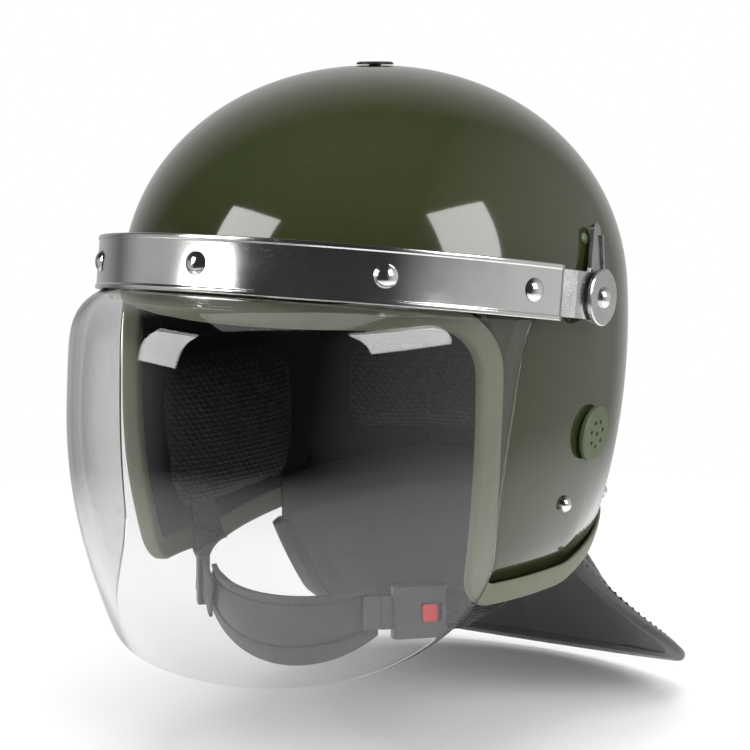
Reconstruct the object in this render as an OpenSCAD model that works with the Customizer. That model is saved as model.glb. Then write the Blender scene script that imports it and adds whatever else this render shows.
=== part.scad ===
// Riot helmet: a glossy shell with a hinged clear visor, neck cape and chin strap.
// The origin is the middle of the ring of pads that sits on the head, level with the visor's pivots.
// The face looks along -Y, the wearer's left is +X and up is +Z. Sizes are in millimetres.

/* [Shell] */
// Half of the shell's width at the pivots
shell_half_width = 124; // [112:1:136]
// Height of the crown above the pivot axis
crown_height = 109; // [98:1:122]
// Reach of the shell in front of the pivot axis
shell_front = 131; // [120:1:142]
// Reach of the shell behind the pivot axis
shell_back = 143; // [132:1:156]
// Depth below the pivot axis where the back is fullest
back_depth = 40; // [30:1:50]
// Depth of the dish pressed in above the nape
nape_dish = 5; // [3:0.5:7]
// Wall of the shell
shell_wall = 4; // [3:0.5:5]

/* [Face opening and rim] */
// Height of the brow edge above the pivot axis
brow_height = -9; // [-14:1:2]
// Angle from the front to the opening's side edges
opening_angle = 57; // [52:1:62]
// Radius of the opening's upper corners
opening_corner = 25; // [16:1:30]
// Depth of the ear flaps below the pivot axis
flap_depth = 141; // [134:1:150]
// Radius of the front corner of the ear flaps
flap_corner = 16; // [14:1:22]
// Depth of the rim at the middle of the nape
nape_depth = 115; // [108:1:120]

/* [Edge trim] */
// Width of the trim over the shell
trim_width = 9; // [7:0.5:11]
// Wall of the trim
trim_wall = 2.2; // [1.5:0.1:3]

/* [Nape strip and cape] */
// Height of the nape strip at its middle
strip_height = 31; // [24:1:34]
// Angle from the back to the ends of the nape strip
strip_angle = 50; // [42:1:54]
// Angle from the back to the outer nape rivets
nape_rivet_angle = 55; // [50:1:58]
// Angle from the back to the inner nape rivets
nape_inner_angle = 28; // [25:1:36]
// Angle from the back to the ends of the cape at the shell
cape_angle = 68; // [56:1:72]
// Depth of the cape's lower edge below the pivot axis
cape_depth = 223; // [190:1:240]
// Reach of the cape's lower edge behind the pivot axis
cape_reach = 177; // [160:1:190]
// Half of the cape's width at its lower corners
cape_half_width = 125; // [100:1:128]
// Thickness of the quilted cape at its seams
cape_thickness = 3; // [2:0.5:5]
// Swell of the quilting between its seams
cape_puff = 2.5; // [1:0.5:4]
// Width of the binding round the cape
binding_width = 8; // [5:0.5:12]

/* [Front band and visor] */
// Tilt of the band above level
band_tilt = 8; // [4:1:12]
// Distance from the shell to the band's outside at the pivots
band_side_gap = 8; // [7:0.5:11]
// Distance from the shell to the band's outside at the front
band_front_gap = 18; // [15:1:23]
// Height of the band
band_height = 26; // [22:1:32]
// Wall of the band
band_wall = 1.2; // [0.8:0.1:2]
// Angle from the front to the band's ends
band_angle = 75; // [73:1:77]
// Angle between the middle rivet and the next ones
rivet_angle = 38; // [30:1:40]
// Angle between the middle rivet and the outer ones
outer_rivet_angle = 68; // [65:1:68]
// Diameter of the dome heads on the band
rivet_head = 11; // [8:0.5:12]
// Diameter of the rivet shanks
rivet_shank = 4; // [3:0.5:5]
// Thickness of the gasket between band and visor
gasket_wall = 1.4; // [1:0.1:2]
// Wall of the clear visor
visor_wall = 2.8; // [2:0.1:4]
// Distance that the visor swells out below the band
visor_bulge = 33; // [26:1:36]
// Distance that the visor tucks in again at its lower edge
visor_tuck = 65; // [45:1:75]
// Distance from the middle of the band to the visor's lower edge
visor_drop = 192; // [180:1:200]
// Height of the visor's rounded lower part
visor_corner = 70; // [50:1:85]
// Angle from the front to the visor's side edges
visor_angle = 71; // [66:1:72]

/* [Pivots] */
// Distance of the pivots in front of the middle of the shell
pivot_forward = 9; // [4:1:12]
// Diameter of the pivot screws
screw_diameter = 6; // [5:0.5:8]
// Running clearance round the pivot screws
pivot_clearance = 0.05; // [0.02:0.01:0.1]
// Diameter of the base plates on the shell
base_diameter = 22; // [18:1:24]
// Thickness of the base plates
base_thickness = 1.8; // [1:0.1:2.4]
// Thickness of the lock levers
lever_thickness = 2; // [1.5:0.1:2.5]
// Height of the lever tips above the pivots
lever_length = 36; // [28:1:42]
// Lean of the lock levers to the back
lever_lean = 20; // [0:1:30]
// Slope of the lever blades towards the shell
lever_slope = 11; // [8:1:13]
// Thickness of the brackets between band and pivots
bracket_thickness = 2; // [1.5:0.1:2.5]
// Diameter of the bracket eyes
bracket_diameter = 25; // [22:1:28]
// Thickness of the spring washers
spring_thickness = 1; // [0.6:0.1:1.5]
// Diameter of the outer discs
disc_diameter = 27; // [24:1:30]
// Thickness of the outer discs
disc_thickness = 2; // [1.5:0.1:3]
// Diameter of the pivot screw heads
screw_head = 10; // [9:0.5:13]

/* [Ear vents and small rivets] */
// Depth of the ear vents below the pivots
vent_depth = 67; // [62:1:74]
// Distance of the ear vents behind the middle of the shell
vent_back = 5; // [0:1:10]
// Diameter of the ear vents
vent_diameter = 27; // [20:1:32]
// Diameter of the sound holes
vent_hole = 2.2; // [1.5:0.1:3]
// Number of sound holes round the middle one
vent_holes = 7; // [5:1:8]
// Diameter of the crown plug
plug_diameter = 18.5; // [14:0.5:24]

/* [Liner and pads] */
// Thickness of the impact liner
liner_thickness = 20; // [15:1:24]
// Thickness of the comfort pads
pad_thickness = 10; // [6:1:12]
// Half of the distance between the cheek pads
cheek_gap = 78; // [74:1:84]

/* [Chin strap] */
// Height of the strap rivets above the flaps' lower edge
strap_rise = 41; // [35:1:47]
// Distance from the strap rivets forward to the pivots
strap_forward = 11; // [8:1:16]
// Width of the webbing
strap_width = 20; // [16:1:24]
// Thickness of the webbing
strap_thickness = 2; // [1.5:0.1:3]
// Half of the chin cup's width
cup_half_width = 50; // [44:1:56]
// Height of the chin cup
cup_height = 36; // [28:1:42]
// Thickness of the chin cup's leather
cup_wall = 3.5; // [2.5:0.5:5]
// Thickness of the chin pad
chin_pad_thickness = 6; // [4:0.5:9]
// Travel of the red release tab
release_travel = 2.5; // [1.5:0.1:3]

/* [Hidden] */
$fn = 48;
gap = 0.3;
band_half_width = shell_half_width + band_side_gap;
band_front = shell_front + band_front_gap;
strap_depth = flap_depth - strap_rise;
girth = shell_half_width * PI / 180;
half_turn = 180 * girth;

// Plan sizes of the shell at height z, for a skin that lies o outside its outer face.
side_fall = 265;
front_fall = 400;
crown_power = 2.1;
// The ear flaps are squarer in plan than the dome, from this depth down.
flap_power = 2.4;
flap_full = 110;

function crown_share(z, o) = pow(max(0, 1 - pow(z / (crown_height + o), crown_power)), 1 / crown_power);
function half_width(z, o) =
    (shell_half_width + o) * (z > 0 ? crown_share(z, o) : sqrt(1 - pow(z / side_fall, 2)));
function front_reach(z, o) =
    (shell_front + o) * sqrt(max(0, 1 - pow(z / (z > 0 ? crown_height + o : front_fall), 2)));
function back_reach(z, o) =
    (shell_back + o) * sqrt(max(0, 1 - pow((z + back_depth) / (crown_height + o + back_depth), 2)));
function plan_power(z) = 2 + (flap_power - 2) * pow(sin(90 * min(1, max(0, -z / flap_full))), 2);

// The dish above the nape fades out towards the sides, the back and the rim.
dish_angle = strip_angle + 10;
dish_middle = nape_depth - trim_width - strip_height + 3;
dish_span = 36;
function dish(a, z) =
    let (side = min(1, abs(180 - a) / dish_angle), rise = min(1, abs(z + dish_middle) / dish_span))
    nape_dish * pow(cos(90 * side), 2) * pow(cos(90 * rise), 2);

// A point of the skin at angle a from the front, height z and offset o.
function skin(a, z, o) =
    let (inset = o - dish(a, z), e = cos(a) > 0 ? 2 / plan_power(z) : 1)
    [half_width(z, inset) * sign(sin(a)) * pow(abs(sin(a)), e),
    cos(a) > 0 ? -front_reach(z, inset) * pow(cos(a), e) : -back_reach(z, inset) * cos(a), z];
// The same for a point given by its distance s along the girth.
function wrap(p, o) = skin(p[0] / girth, p[1], o);

function unit(v) = v / norm(v);
function flat(p) = [p[0], p[1]];
function mirrored(p) = [-p[0], p[1], p[2]];

// Points round the corner c between the straights from p and to q, with radius r.
function corner_points(p, c, q, r, n) =
    let (u = unit(p - c), v = unit(q - c), half = acos(u * v) / 2,
        centre = c + unit(u + v) * r / sin(half), start = c + u * r / tan(half) - centre,
        first = atan2(start[1], start[0]), turn = sign(cross(c - p, q - c)) * (180 - 2 * half))
    [for (k = [0:n]) centre + r * [cos(first + turn * k / n), sin(first + turn * k / n)]];
function stop_points(c, i, n) =
    i == 0 || i == len(c) - 1 ? [flat(c[i])]
    : corner_points(flat(c[i - 1]), flat(c[i]), flat(c[i + 1]), c[i][2], n);
// A path through corners [s, z, radius], with runs[i] pieces on each straight.
function rounded_path(c, runs, n) =
    [for (i = [0:len(c) - 1])
        let (here = stop_points(c, i, n), p = here[len(here) - 1],
            q = i == len(c) - 1 ? p : stop_points(c, i + 1, n)[0])
        each concat(here, i == len(c) - 1 ? [] : [for (k = [1:1:runs[i] - 1]) p + (q - p) * k / runs[i]])];
// Each point of a path moved to its left by d; the ends move straight up.
function path_normal(path, i) =
    i == 0 || i == len(path) - 1 ? [0, 1]
    : let (t = unit(path[i + 1] - path[i - 1])) [-t[1], t[0]];
function moved_path(path, d) = [for (i = [0:len(path) - 1]) path[i] + d * path_normal(path, i)];

// The rim of the left half, from the brow's middle to the nape's middle.
flap_front = 4;
flap_back = 92;
rise_angle = 125;
level_angle = 158;
rim_corners = [[0, brow_height, 0], [opening_angle * girth, brow_height, opening_corner],
    [(opening_angle + flap_front) * girth, -flap_depth, flap_corner], [flap_back * girth, -flap_depth, 70],
    [rise_angle * girth, -nape_depth - 11, 90], [level_angle * girth, -nape_depth, 60],
    [half_turn, -nape_depth, 0]];
rim = rounded_path(rim_corners, [6, 5, 2, 1, 3, 3], 4);
rim_table = [for (p = rim) if (p[0] > flap_back * girth) p];
function rim_height(a) = lookup(a * girth, rim_table);

function whole_ring(half) =
    concat(half, [for (j = [len(half) - 2:-1:1]) mirrored(half[j])]);
// Part g of the way from the path to the crown, wrapped at offset o.
function climbing_ring(path, g, o) =
    whole_ring([for (j = [0:len(path) - 1])
        let (target = [half_turn * j / (len(path) - 1), crown_height + o])
        wrap(path[j] + (target - path[j]) * g, o)]);

function quad_faces(i, n, closed) =
    [for (j = [0:closed ? n - 1 : n - 2])
        let (a = i * n + j, b = i * n + (j + 1) % n, c = b + n, d = a + n)
        each [[a, b, c], [a, c, d]]];
function flipped(faces) = [for (f = faces) [for (k = [len(f) - 1:-1:0]) f[k]]];

// A solid between rings of n points, closed by a point beyond each end.
module pointed_loft(first, rings, last) {
    n = len(rings[0]);
    points = concat([for (r = rings) each r], [first, last]);
    total = len(rings) * n;
    polyhedron(points, concat(
        [for (i = [0:len(rings) - 2]) each quad_faces(i, n, true)],
        [for (j = [0:n - 1]) [total, (j + 1) % n, j]],
        [for (j = [0:n - 1]) [total + 1, total - n + j, total - n + (j + 1) % n]]));
}

// Shares of the climb to the crown; the first ones are close together for the dish.
dish_steps = [0, 0.045, 0.09, 0.135, 0.18, 0.23, 0.29, 0.37, 0.46, 0.56, 0.66, 0.75, 0.83, 0.9, 0.955, 0.988];
plain_steps = [0, 0.13, 0.27, 0.42, 0.57, 0.72, 0.85, 0.95, 0.99];
// A bowl between two offsets of the skin, with its rim on the path.
module bowl(path, lip, steps, outside, inside) {
    start = moved_path(path, lip);
    outer = concat([climbing_ring(path, 0, outside)], [for (g = steps) climbing_ring(start, g, outside)]);
    inner = concat([climbing_ring(path, 0, inside)], [for (g = steps) climbing_ring(start, g, inside)]);
    pointed_loft([0, 0, crown_height + outside],
        concat([for (k = [len(steps):-1:0]) outer[k]], inner), [0, 0, crown_height + inside]);
}

// A closed loop swept through rings.
module looped_loft(rings) {
    n = len(rings[0]);
    m = len(rings);
    polyhedron([for (r = rings) each r],
        [for (i = [0:m - 1], j = [0:n - 1])
            let (a = i * n + j, b = i * n + (j + 1) % n, c = ((i + 1) % m) * n + (j + 1) % n,
                d = ((i + 1) % m) * n + j)
            each [[a, b, c], [a, c, d]]]);
}

// A bar swept through rings of four or more points, with flat ends.
module capped_loft(rings) {
    n = len(rings[0]);
    m = len(rings);
    polyhedron([for (r = rings) each r], concat(
        [for (i = [0:m - 2]) each quad_faces(i, n, true)],
        [for (j = [1:n - 2]) [0, j + 1, j]],
        [for (j = [1:n - 2]) [(m - 1) * n, (m - 1) * n + j, (m - 1) * n + j + 1]]));
}

// A sheet between two grids of points, walled round its four sides.
module slab(front, back) {
    rows = len(front);
    n = len(front[0]);
    shift = rows * n;
    edge = concat([for (j = [0:n - 2]) j], [for (i = [0:rows - 2]) i * n + n - 1],
        [for (j = [n - 1:-1:1]) (rows - 1) * n + j], [for (i = [rows - 1:-1:1]) i * n]);
    face = [for (i = [0:rows - 2]) each quad_faces(i, n, false)];
    polyhedron(concat([for (r = front) each r], [for (r = back) each r]), concat(
        face, [for (f = flipped(face)) [for (k = f) k + shift]],
        [for (k = [0:len(edge) - 1])
            let (a = edge[k], b = edge[(k + 1) % len(edge)])
            each [[b, a, a + shift], [b, a + shift, b + shift]]]));
}

// How far a cushion has risen at share t across it, from e at the edges to 1 in the middle.
function crown(t, e, power) = e + (1 - e) * (1 - pow(abs(2 * t - 1), power));

// A cushion on the inside of the skin, between angles a0 and a1 and heights z0 and z1.
module pad(a0, a1, z0, z1, offset, thickness, across, down, puffs) {
    edge = 0.35;
    function spot(u, v) =
        let (narrow = 1 - 0.1 * pow(abs(2 * v - 1), 6), mid = (a0 + a1) / 2)
        [mid + (a1 - a0) * (u - 0.5) * narrow, z0 + (z1 - z0) * v];
    function swell(u, v) =
        crown(u, edge, 8) * crown(v, edge, 4) * (1 - 0.12 * pow(cos(180 * puffs * u), 8));
    slab([for (i = [0:down]) [for (j = [0:across])
            let (p = spot(j / across, i / down)) skin(p[0], p[1], offset)]],
        [for (i = [0:down]) [for (j = [0:across])
            let (u = j / across, v = i / down, p = spot(u, v))
            skin(p[0], p[1], offset - thickness * swell(u, v))]]);
}

// Places its children on the shell, their Z axis pointing out of it.
module on_shell(a, z, o = 0) {
    p = skin(a, z, o);
    d = 0.5;
    along = skin(a + d, z, o) - skin(a - d, z, o);
    up = skin(a, z + d, o) - skin(a, z - d, o);
    n = unit(cross(along, up));
    translate(p) rotate([0, acos(n[2]), atan2(n[1], n[0])]) children();
}

module both_sides() {
    children();
    mirror([1, 0, 0]) children();
}

// A dome of diameter d and height h on the plane z = 0.
module dome(d, h) {
    r = (d * d / 4 + h * h) / (2 * h);
    intersection() {
        translate([0, 0, h - r]) sphere(r = r, $fn = 64);
        cylinder(h = h + 1, d = d);
    }
}

// Distances of the pivot stack from the middle, from the shell outwards.
base_x = shell_half_width + gap;
lever_x = base_x + base_thickness + 0.2;
bracket_x = lever_x + lever_thickness + 0.4;
spring_x = bracket_x + bracket_thickness + 0.15;
disc_x = spring_x + spring_thickness + 0.15;
head_x = disc_x + disc_thickness;
inner_wall_x = shell_half_width - shell_wall;
nut_height = 4;
nut_diameter = 11;
nut_pocket = nut_diameter + 9;
nut_x = inner_wall_x - 1.4 - nut_height;
hole_diameter = screw_diameter + 0.4;

module along_x(x) {
    translate([x, 0, 0]) rotate([0, 90, 0]) children();
}
module at_pivot() {
    translate([0, -pivot_forward, 0]) children();
}

// Holes through the shell for everything that is fastened to it.
nape_rivet_shank = 3;
strap_shank = 5;
side_rivet_shank = 3;
side_rivet_angle = 88;
side_rivet_height = 27;
plug_shank = 6;
vent_spigot = vent_diameter - 7;
strap_x = half_width(-strap_depth, 0);
nape_rivet_angles = [-nape_rivet_angle, -nape_inner_angle, 0, nape_inner_angle, nape_rivet_angle];
nape_rivet_rise = trim_width + 11;
function nape_rivet_height(b) = rim_height(180 - abs(b)) + nape_rivet_rise - 3 * pow(b / nape_rivet_angle, 2);

module at_vent() {
    on_shell(90 + asin(vent_back / shell_back), -vent_depth) children();
}

module shell_holes() {
    both_sides() {
        at_pivot() along_x(inner_wall_x - 10) cylinder(h = 20, d = hole_diameter);
        at_vent() translate([0, 0, -12]) cylinder(h = 20, d = vent_spigot + 0.4);
        on_shell(side_rivet_angle, side_rivet_height) translate([0, 0, -8])
            cylinder(h = 12, d = side_rivet_shank + 0.2);
        translate([strap_x - 20, -strap_forward, -strap_depth]) rotate([0, 90, 0])
            cylinder(h = 30, d = strap_shank + 0.2);
    }
    for (b = nape_rivet_angles)
        on_shell(180 + b, nape_rivet_height(b)) translate([0, 0, -12])
            cylinder(h = 20, d = nape_rivet_shank + 0.2);
    translate([0, 0, crown_height - 12]) cylinder(h = 20, d = plug_shank + 0.2);
}

module outer_shell() {
    color([0.25, 0.29, 0.15]) difference() {
        bowl(rim, trim_width + 1, dish_steps, 0, -shell_wall);
        shell_holes();
    }
}

// Cross-section of the trim: [distance in from the rim, offset from the outer face].
trim_gap = 0.3;
trim_section = [[trim_width, trim_gap], [trim_width, trim_gap + trim_wall * 0.5],
    [trim_width * 0.6, trim_gap + trim_wall], [0, trim_gap + trim_wall],
    [-trim_wall, -shell_wall * 0.1], [-trim_wall, -shell_wall * 0.9],
    [0, -shell_wall - trim_gap - trim_wall], [trim_width, -shell_wall - trim_gap - trim_wall],
    [trim_width, -shell_wall - trim_gap], [-trim_gap, -shell_wall - trim_gap], [-trim_gap, trim_gap]];

module edge_trim() {
    n = len(rim);
    half = [for (i = [0:n - 1]) [for (c = trim_section) wrap(rim[i] + c[0] * path_normal(rim, i), c[1])]];
    rings = concat(half, [for (i = [n - 2:-1:1]) [for (p = half[i]) mirrored(p)]]);
    color([0.55, 0.57, 0.45]) looped_loft([for (r = rings) [for (k = [len(r) - 1:-1:0]) r[k]]]);
}

// Foam liner: its rim climbs over the ears and ends above the dish.
liner_offset = -shell_wall - 1.8;
liner_inside = liner_offset - liner_thickness;
liner_brow = brow_height + trim_width + 1.5;
liner_rim = rounded_path([[0, liner_brow, 0], [70 * girth, liner_brow, 30],
    [100 * girth, -30, 40], [half_turn, -dish_middle + dish_span, 0]], [7, 4, 7], 3);

module impact_liner() {
    color([0.18, 0.18, 0.18]) difference() {
        bowl(liner_rim, 8, plain_steps, liner_offset, liner_inside);
        both_sides() at_pivot() along_x(nut_x - 5) cylinder(h = 40, d = nut_pocket);
    }
}

pad_offset = liner_inside - 1;
module crown_pad() {
    rows = 4;
    base = 52;
    top = crown_height + pad_offset;
    // Ring k of a dome that lies t inside the liner.
    function dome_ring(k, t) =
        [for (a = [0:10:350]) skin(a, top - t - (top - t - base) * pow(k / rows, 2), pad_offset - t)];
    outer = [for (k = [1:rows]) dome_ring(k, 0)];
    inner = [for (k = [rows:-1:1]) dome_ring(k, pad_thickness * (1 - 0.7 * pow(k / rows, 4)))];
    color([0.12, 0.12, 0.13])
        pointed_loft([0, 0, top], concat(outer, inner), [0, 0, top - pad_thickness]);
}

module brow_pad() {
    color([0.1, 0.1, 0.11])
        pad(-46, 46, brow_height + 14, brow_height + 44, pad_offset, pad_thickness, 16, 6, 4);
}

module nape_pad() {
    color([0.1, 0.1, 0.11])
        pad(136, 224, -nape_depth + nape_rivet_rise + 4, -dish_middle + dish_span - 6, -shell_wall - 1.3,
            liner_thickness, 16, 6, 4);
}

// Cheek pads stand off the shell, which leaves room for the strap and its anchor.
cheek_offset = -shell_wall - 10;
cheek_front = opening_angle + 6;
cheek_back = 118;
cheek_top = -38;
cheek_bottom = -flap_depth + 19;
module cheek_pad() {
    across = 10;
    down = 10;
    function spot(u, v) =
        let (narrow = 1 - 0.16 * pow(abs(2 * v - 1), 5), middle = (cheek_front + cheek_back) / 2)
        [middle + (cheek_back - cheek_front) * (u - 0.5) * narrow,
        cheek_bottom + (cheek_top - cheek_bottom) * v];
    outer = [for (i = [0:down]) [for (j = [0:across])
        let (p = spot(j / across, i / down)) skin(p[0], p[1], cheek_offset)]];
    inner = [for (i = [0:down]) [for (j = [0:across])
        let (u = j / across, v = i / down, p = outer[i][j], rise = crown(u, 0.2, 4) * crown(v, 0.2, 4))
        [p[0] + (cheek_gap - p[0]) * rise, p[1], p[2]]]];
    color([0.1, 0.1, 0.11]) slab(outer, inner);
}
module left_cheek_pad() { cheek_pad(); }
module right_cheek_pad() { mirror([1, 0, 0]) cheek_pad(); }

module crown_plug() {
    color([0.15, 0.16, 0.12]) translate([0, 0, crown_height + gap]) union() {
        cylinder(h = 0.8, d = plug_diameter);
        translate([0, 0, 0.8]) cylinder(h = 0.6, d1 = plug_diameter, d2 = plug_diameter - 2.4);
        translate([0, 0, -shell_wall - 2 * gap]) cylinder(h = shell_wall + 2 * gap + 0.1, d = plug_shank);
    }
}

// The strip's upper edge is an arc that falls away from the middle.
strip_end_height = 17;
function strip_top(b) =
    let (middle = strip_bottom(0) + strip_height, end = strip_bottom(strip_angle) + strip_end_height)
    middle + (end - middle) * pow(b / strip_angle, 2);
function strip_bottom(b) = rim_height(180 - abs(b)) + trim_width + gap;
strip_seat = gap + 0.3;
module nape_strip() {
    across = 20;
    down = 4;
    thin = 1.4;
    thick = 3;
    function spot(j, i) =
        let (b = -strip_angle + 2 * strip_angle * j / across, low = strip_bottom(b))
        [180 + b, low + (strip_top(b) - low) * i / down];
    inner = [for (i = [0:down]) [for (j = [0:across]) let (p = spot(j, i)) skin(p[0], p[1], strip_seat)]];
    outer = [for (i = [0:down]) [for (j = [0:across])
        let (p = spot(j, i)) skin(p[0], p[1], strip_seat + thick + (thin - thick) * i / down)]];
    color([0.25, 0.29, 0.15]) difference() {
        slab(inner, outer);
        for (b = nape_rivet_angles)
            if (abs(b) < strip_angle)
                on_shell(180 + b, nape_rivet_height(b)) translate([0, 0, -4])
                    cylinder(h = 14, d = nape_rivet_shank + 0.2);
    }
}

nape_head = 8;
nape_head_height = 2.4;
module nape_rivets() {
    color([0.85, 0.85, 0.86])
        for (b = nape_rivet_angles)
            let (lift = abs(b) < strip_angle ? strip_seat + 3.1 : gap)
            on_shell(180 + b, nape_rivet_height(b)) union() {
                translate([0, 0, lift]) dome(nape_head, nape_head_height);
                translate([0, 0, -shell_wall - 1.6])
                    cylinder(h = shell_wall + 1.6 + lift + 0.2, d = nape_rivet_shank);
            }
}

// The cape leaves the shell inside the trim, hangs past it and flares out.
cape_clearance = 1.7;
cape_offset = -shell_wall - trim_gap - trim_wall - gap - cape_clearance;
cape_corner_lift = 16;
cape_bow = 47;
cape_arc = (pow(cape_half_width, 2) + pow(cape_bow, 2)) / (2 * cape_bow);
cape_tuck = 14;
function cape_top(s, w) =
    let (a = 180 + cape_angle * s, z = rim_height(180 - abs(cape_angle * s)) + cape_tuck)
    skin(a, z, cape_offset - w);
function cape_lip(s, w) =
    let (a = 180 + cape_angle * s, z = rim_height(180 - abs(cape_angle * s)) - trim_wall - 4)
    skin(a, z, cape_offset - w);
function cape_low(s) =
    let (a = asin(cape_half_width / cape_arc) * s)
    [-cape_arc * sin(a), cape_reach - cape_arc + cape_arc * cos(a), -cape_depth + cape_corner_lift * s * s];
// The middle of the cape at share s across and v down, with v below 0 inside the trim.
function cape_point(s, v) =
    v < 0 ? cape_lip(s, 1.5) + (cape_top(s, 1.5) - cape_lip(s, 1.5)) * -v
    : let (p = cape_lip(s, 1.5), q = cape_low(s), k = p + (q - p) * 0.35 + [0, 0, -9])
        p * pow(1 - v, 2) + k * 2 * v * (1 - v) + q * v * v;
function cape_normal(s, v) =
    let (d = 0.01, along = cape_point(s + d, v) - cape_point(s - d, v),
        down = cape_point(s, v + d) - cape_point(s, v - d)) unit(cross(along, down));

cape_seams = [-1, -0.8, -0.54, 0, 0.54, 0.8, 1];
cape_cross_seam = 0.42;
// The share of the way that x has come between its two neighbours in a list.
function between(x, list) =
    let (low = max([for (q = list) if (q <= x) q]), high = min([for (q = list) if (q > x) q]))
    (x - low) / (high - low);
function swelling(share) = pow(abs(sin(180 * share)), 0.6);
function puff(s, v) =
    v <= 0 ? 0
    : swelling(between(max(-0.999, min(s, 0.999)), cape_seams))
        * swelling(v < cape_cross_seam ? v / cape_cross_seam : (v - cape_cross_seam) / (1 - cape_cross_seam));

cape_across = [-1, -0.9, -0.8, -0.72, -0.63, -0.54, -0.42, -0.27, -0.12, 0,
    0.12, 0.27, 0.42, 0.54, 0.63, 0.72, 0.8, 0.9, 1];
// The outline's lower corners are round: the share of the width left at share v down.
corner_from = 0.7;
corner_cut = 0.2;
function outline(v) =
    1 - corner_cut * (1 - sqrt(max(0, 1 - pow(max(0, v - corner_from) / (1 - corner_from), 2))));
corner_stops = [for (k = [1:4]) corner_from + (1 - corner_from) * sin(90 * k / 4)];
cape_down = concat([-1, -0.05, 0.08, 0.2, 0.32, 0.42, 0.52, 0.61, corner_from], corner_stops);
// The sheet stops short of the outline, where the binding takes over.
binding_share = binding_width / 100;
binding_side = binding_width / 115;

module neck_cape() {
    spots = [for (v = cape_down) [for (s = cape_across)
        [s * outline(v) * (1 - binding_side), v < 0 ? v : v * (1 - binding_share)]]];
    function layer(way) = [for (row = spots) [for (q = row)
        let (swell = way > 0 ? cape_puff * puff(q[0], q[1]) : 0,
            half = cape_thickness / 2 * (q[1] < 0 ? 0.6 : 1))
        cape_point(q[0], q[1]) + cape_normal(q[0], q[1]) * (way * half + swell)]];
    color([0.2, 0.2, 0.21]) slab(layer(1), layer(-1));
}

// The binding runs down one side, along the bottom and up the other.
binding_thickness = cape_thickness + 1.6;
binding_top = 0.05;
binding_reach = 0.93;
side_stops = concat([for (k = [0:5]) binding_top + (corner_from - binding_top) * k / 5], corner_stops);
binding_edge = concat([for (v = side_stops) [-outline(v), v]],
    [for (s = cape_across) if (abs(s) < 1) [(1 - corner_cut) * s, 1]],
    [for (k = [len(side_stops) - 1:-1:0]) [outline(side_stops[k]), side_stops[k]]]);
function binding_ring(q) =
    let (outer = cape_point(q[0], q[1]),
        across = 1 - binding_side * binding_reach, down = 1 - binding_share * binding_reach,
        inner = cape_point(q[0] * across, q[1] * down),
        n = cape_normal(q[0], q[1]) * binding_thickness / 2)
    [outer + n * 0.5, outer - n * 0.5, inner - n, inner + n];
module cape_binding() {
    color([0.14, 0.14, 0.15]) capped_loft([for (q = binding_edge) binding_ring(q)]);
}

// Ear vent: a flanged disc with a spigot through the shell.
module ear_vent() {
    lift = 1.6;
    wall = 2.4;
    color([0.42, 0.46, 0.33]) at_vent() difference() {
        union() {
            translate([0, 0, lift]) cylinder(h = wall - 0.8, d = vent_diameter);
            translate([0, 0, lift + wall - 0.8])
                cylinder(h = 0.8, d1 = vent_diameter, d2 = vent_diameter - 2);
            translate([0, 0, -shell_wall - 0.5]) cylinder(h = shell_wall + lift + 1, d = vent_spigot);
        }
        translate([0, 0, -shell_wall - 1]) cylinder(h = shell_wall + lift + 1.2, d = vent_spigot - 3);
        cylinder(h = 12, d = vent_hole, center = true);
        for (k = [1:vent_holes])
            rotate(360 * k / vent_holes) translate([vent_spigot * 0.31, 0, 0])
                cylinder(h = 12, d = vent_hole, center = true);
    }
}
module left_ear_vent() { ear_vent(); }
module right_ear_vent() { mirror([1, 0, 0]) ear_vent(); }

module side_rivets() {
    color([0.4, 0.43, 0.3]) both_sides() on_shell(side_rivet_angle, side_rivet_height) union() {
        translate([0, 0, 0.15]) dome(5.6, 1.2);
        translate([0, 0, -shell_wall - 0.4]) cylinder(h = shell_wall + 0.8, d = side_rivet_shank);
    }
}

// Pivot stack of the left side; the right side is its mirror image.
module base_plate() {
    color([0.45, 0.45, 0.46]) at_pivot() along_x(base_x) difference() {
        cylinder(h = base_thickness, d = base_diameter);
        translate([0, 0, -1]) cylinder(h = base_thickness + 2, d = hole_diameter);
    }
}
module left_base_plate() { base_plate(); }
module right_base_plate() { mirror([1, 0, 0]) base_plate(); }

lever_eye = 18;
lever_tip = 7;
lever_bend = 12;
flange_width = 1.6;
flange_height = 17;
module lock_lever() {
    color([0.5, 0.5, 0.52]) at_pivot() rotate([-lever_lean, 0, 0]) difference() {
        union() {
            along_x(lever_x) cylinder(h = lever_thickness, d = lever_eye);
            // The neck of the lever, up to the bend.
            translate([lever_x, -lever_eye * 0.4, 0]) cube([lever_thickness, lever_eye * 0.8, lever_bend]);
            // The blade slopes in towards the shell above the bend.
            translate([lever_x, 0, lever_bend]) rotate([0, -lever_slope, 0]) union() {
                tapered_plate(lever_length - lever_bend);
                translate([0, lever_eye * 0.4 - flange_width - 1.2, 2])
                    rotate([6, 0, 0]) cube([bracket_x - gap - lever_x + 1, flange_width, flange_height]);
            }
        }
        along_x(lever_x - 20) cylinder(h = 60, d = screw_diameter + 2 * pivot_clearance);
        // Nothing of the lever reaches the bracket's plane.
        translate([bracket_x - gap, -50, 5]) cube([40, 100, 100]);
    }
}
// A tapering plate standing on the bend, with a round tip.
module tapered_plate(height) {
    rotate([90, 0, 90]) linear_extrude(height = lever_thickness) union() {
        polygon([[-lever_eye * 0.4, -1], [lever_eye * 0.4, -1],
            [lever_tip / 2, height - lever_tip / 2], [-lever_tip / 2, height - lever_tip / 2]]);
        translate([0, height - lever_tip / 2]) circle(d = lever_tip);
    }
}
module left_lock_lever() { lock_lever(); }
module right_lock_lever() { mirror([1, 0, 0]) lock_lever(); }

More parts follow.
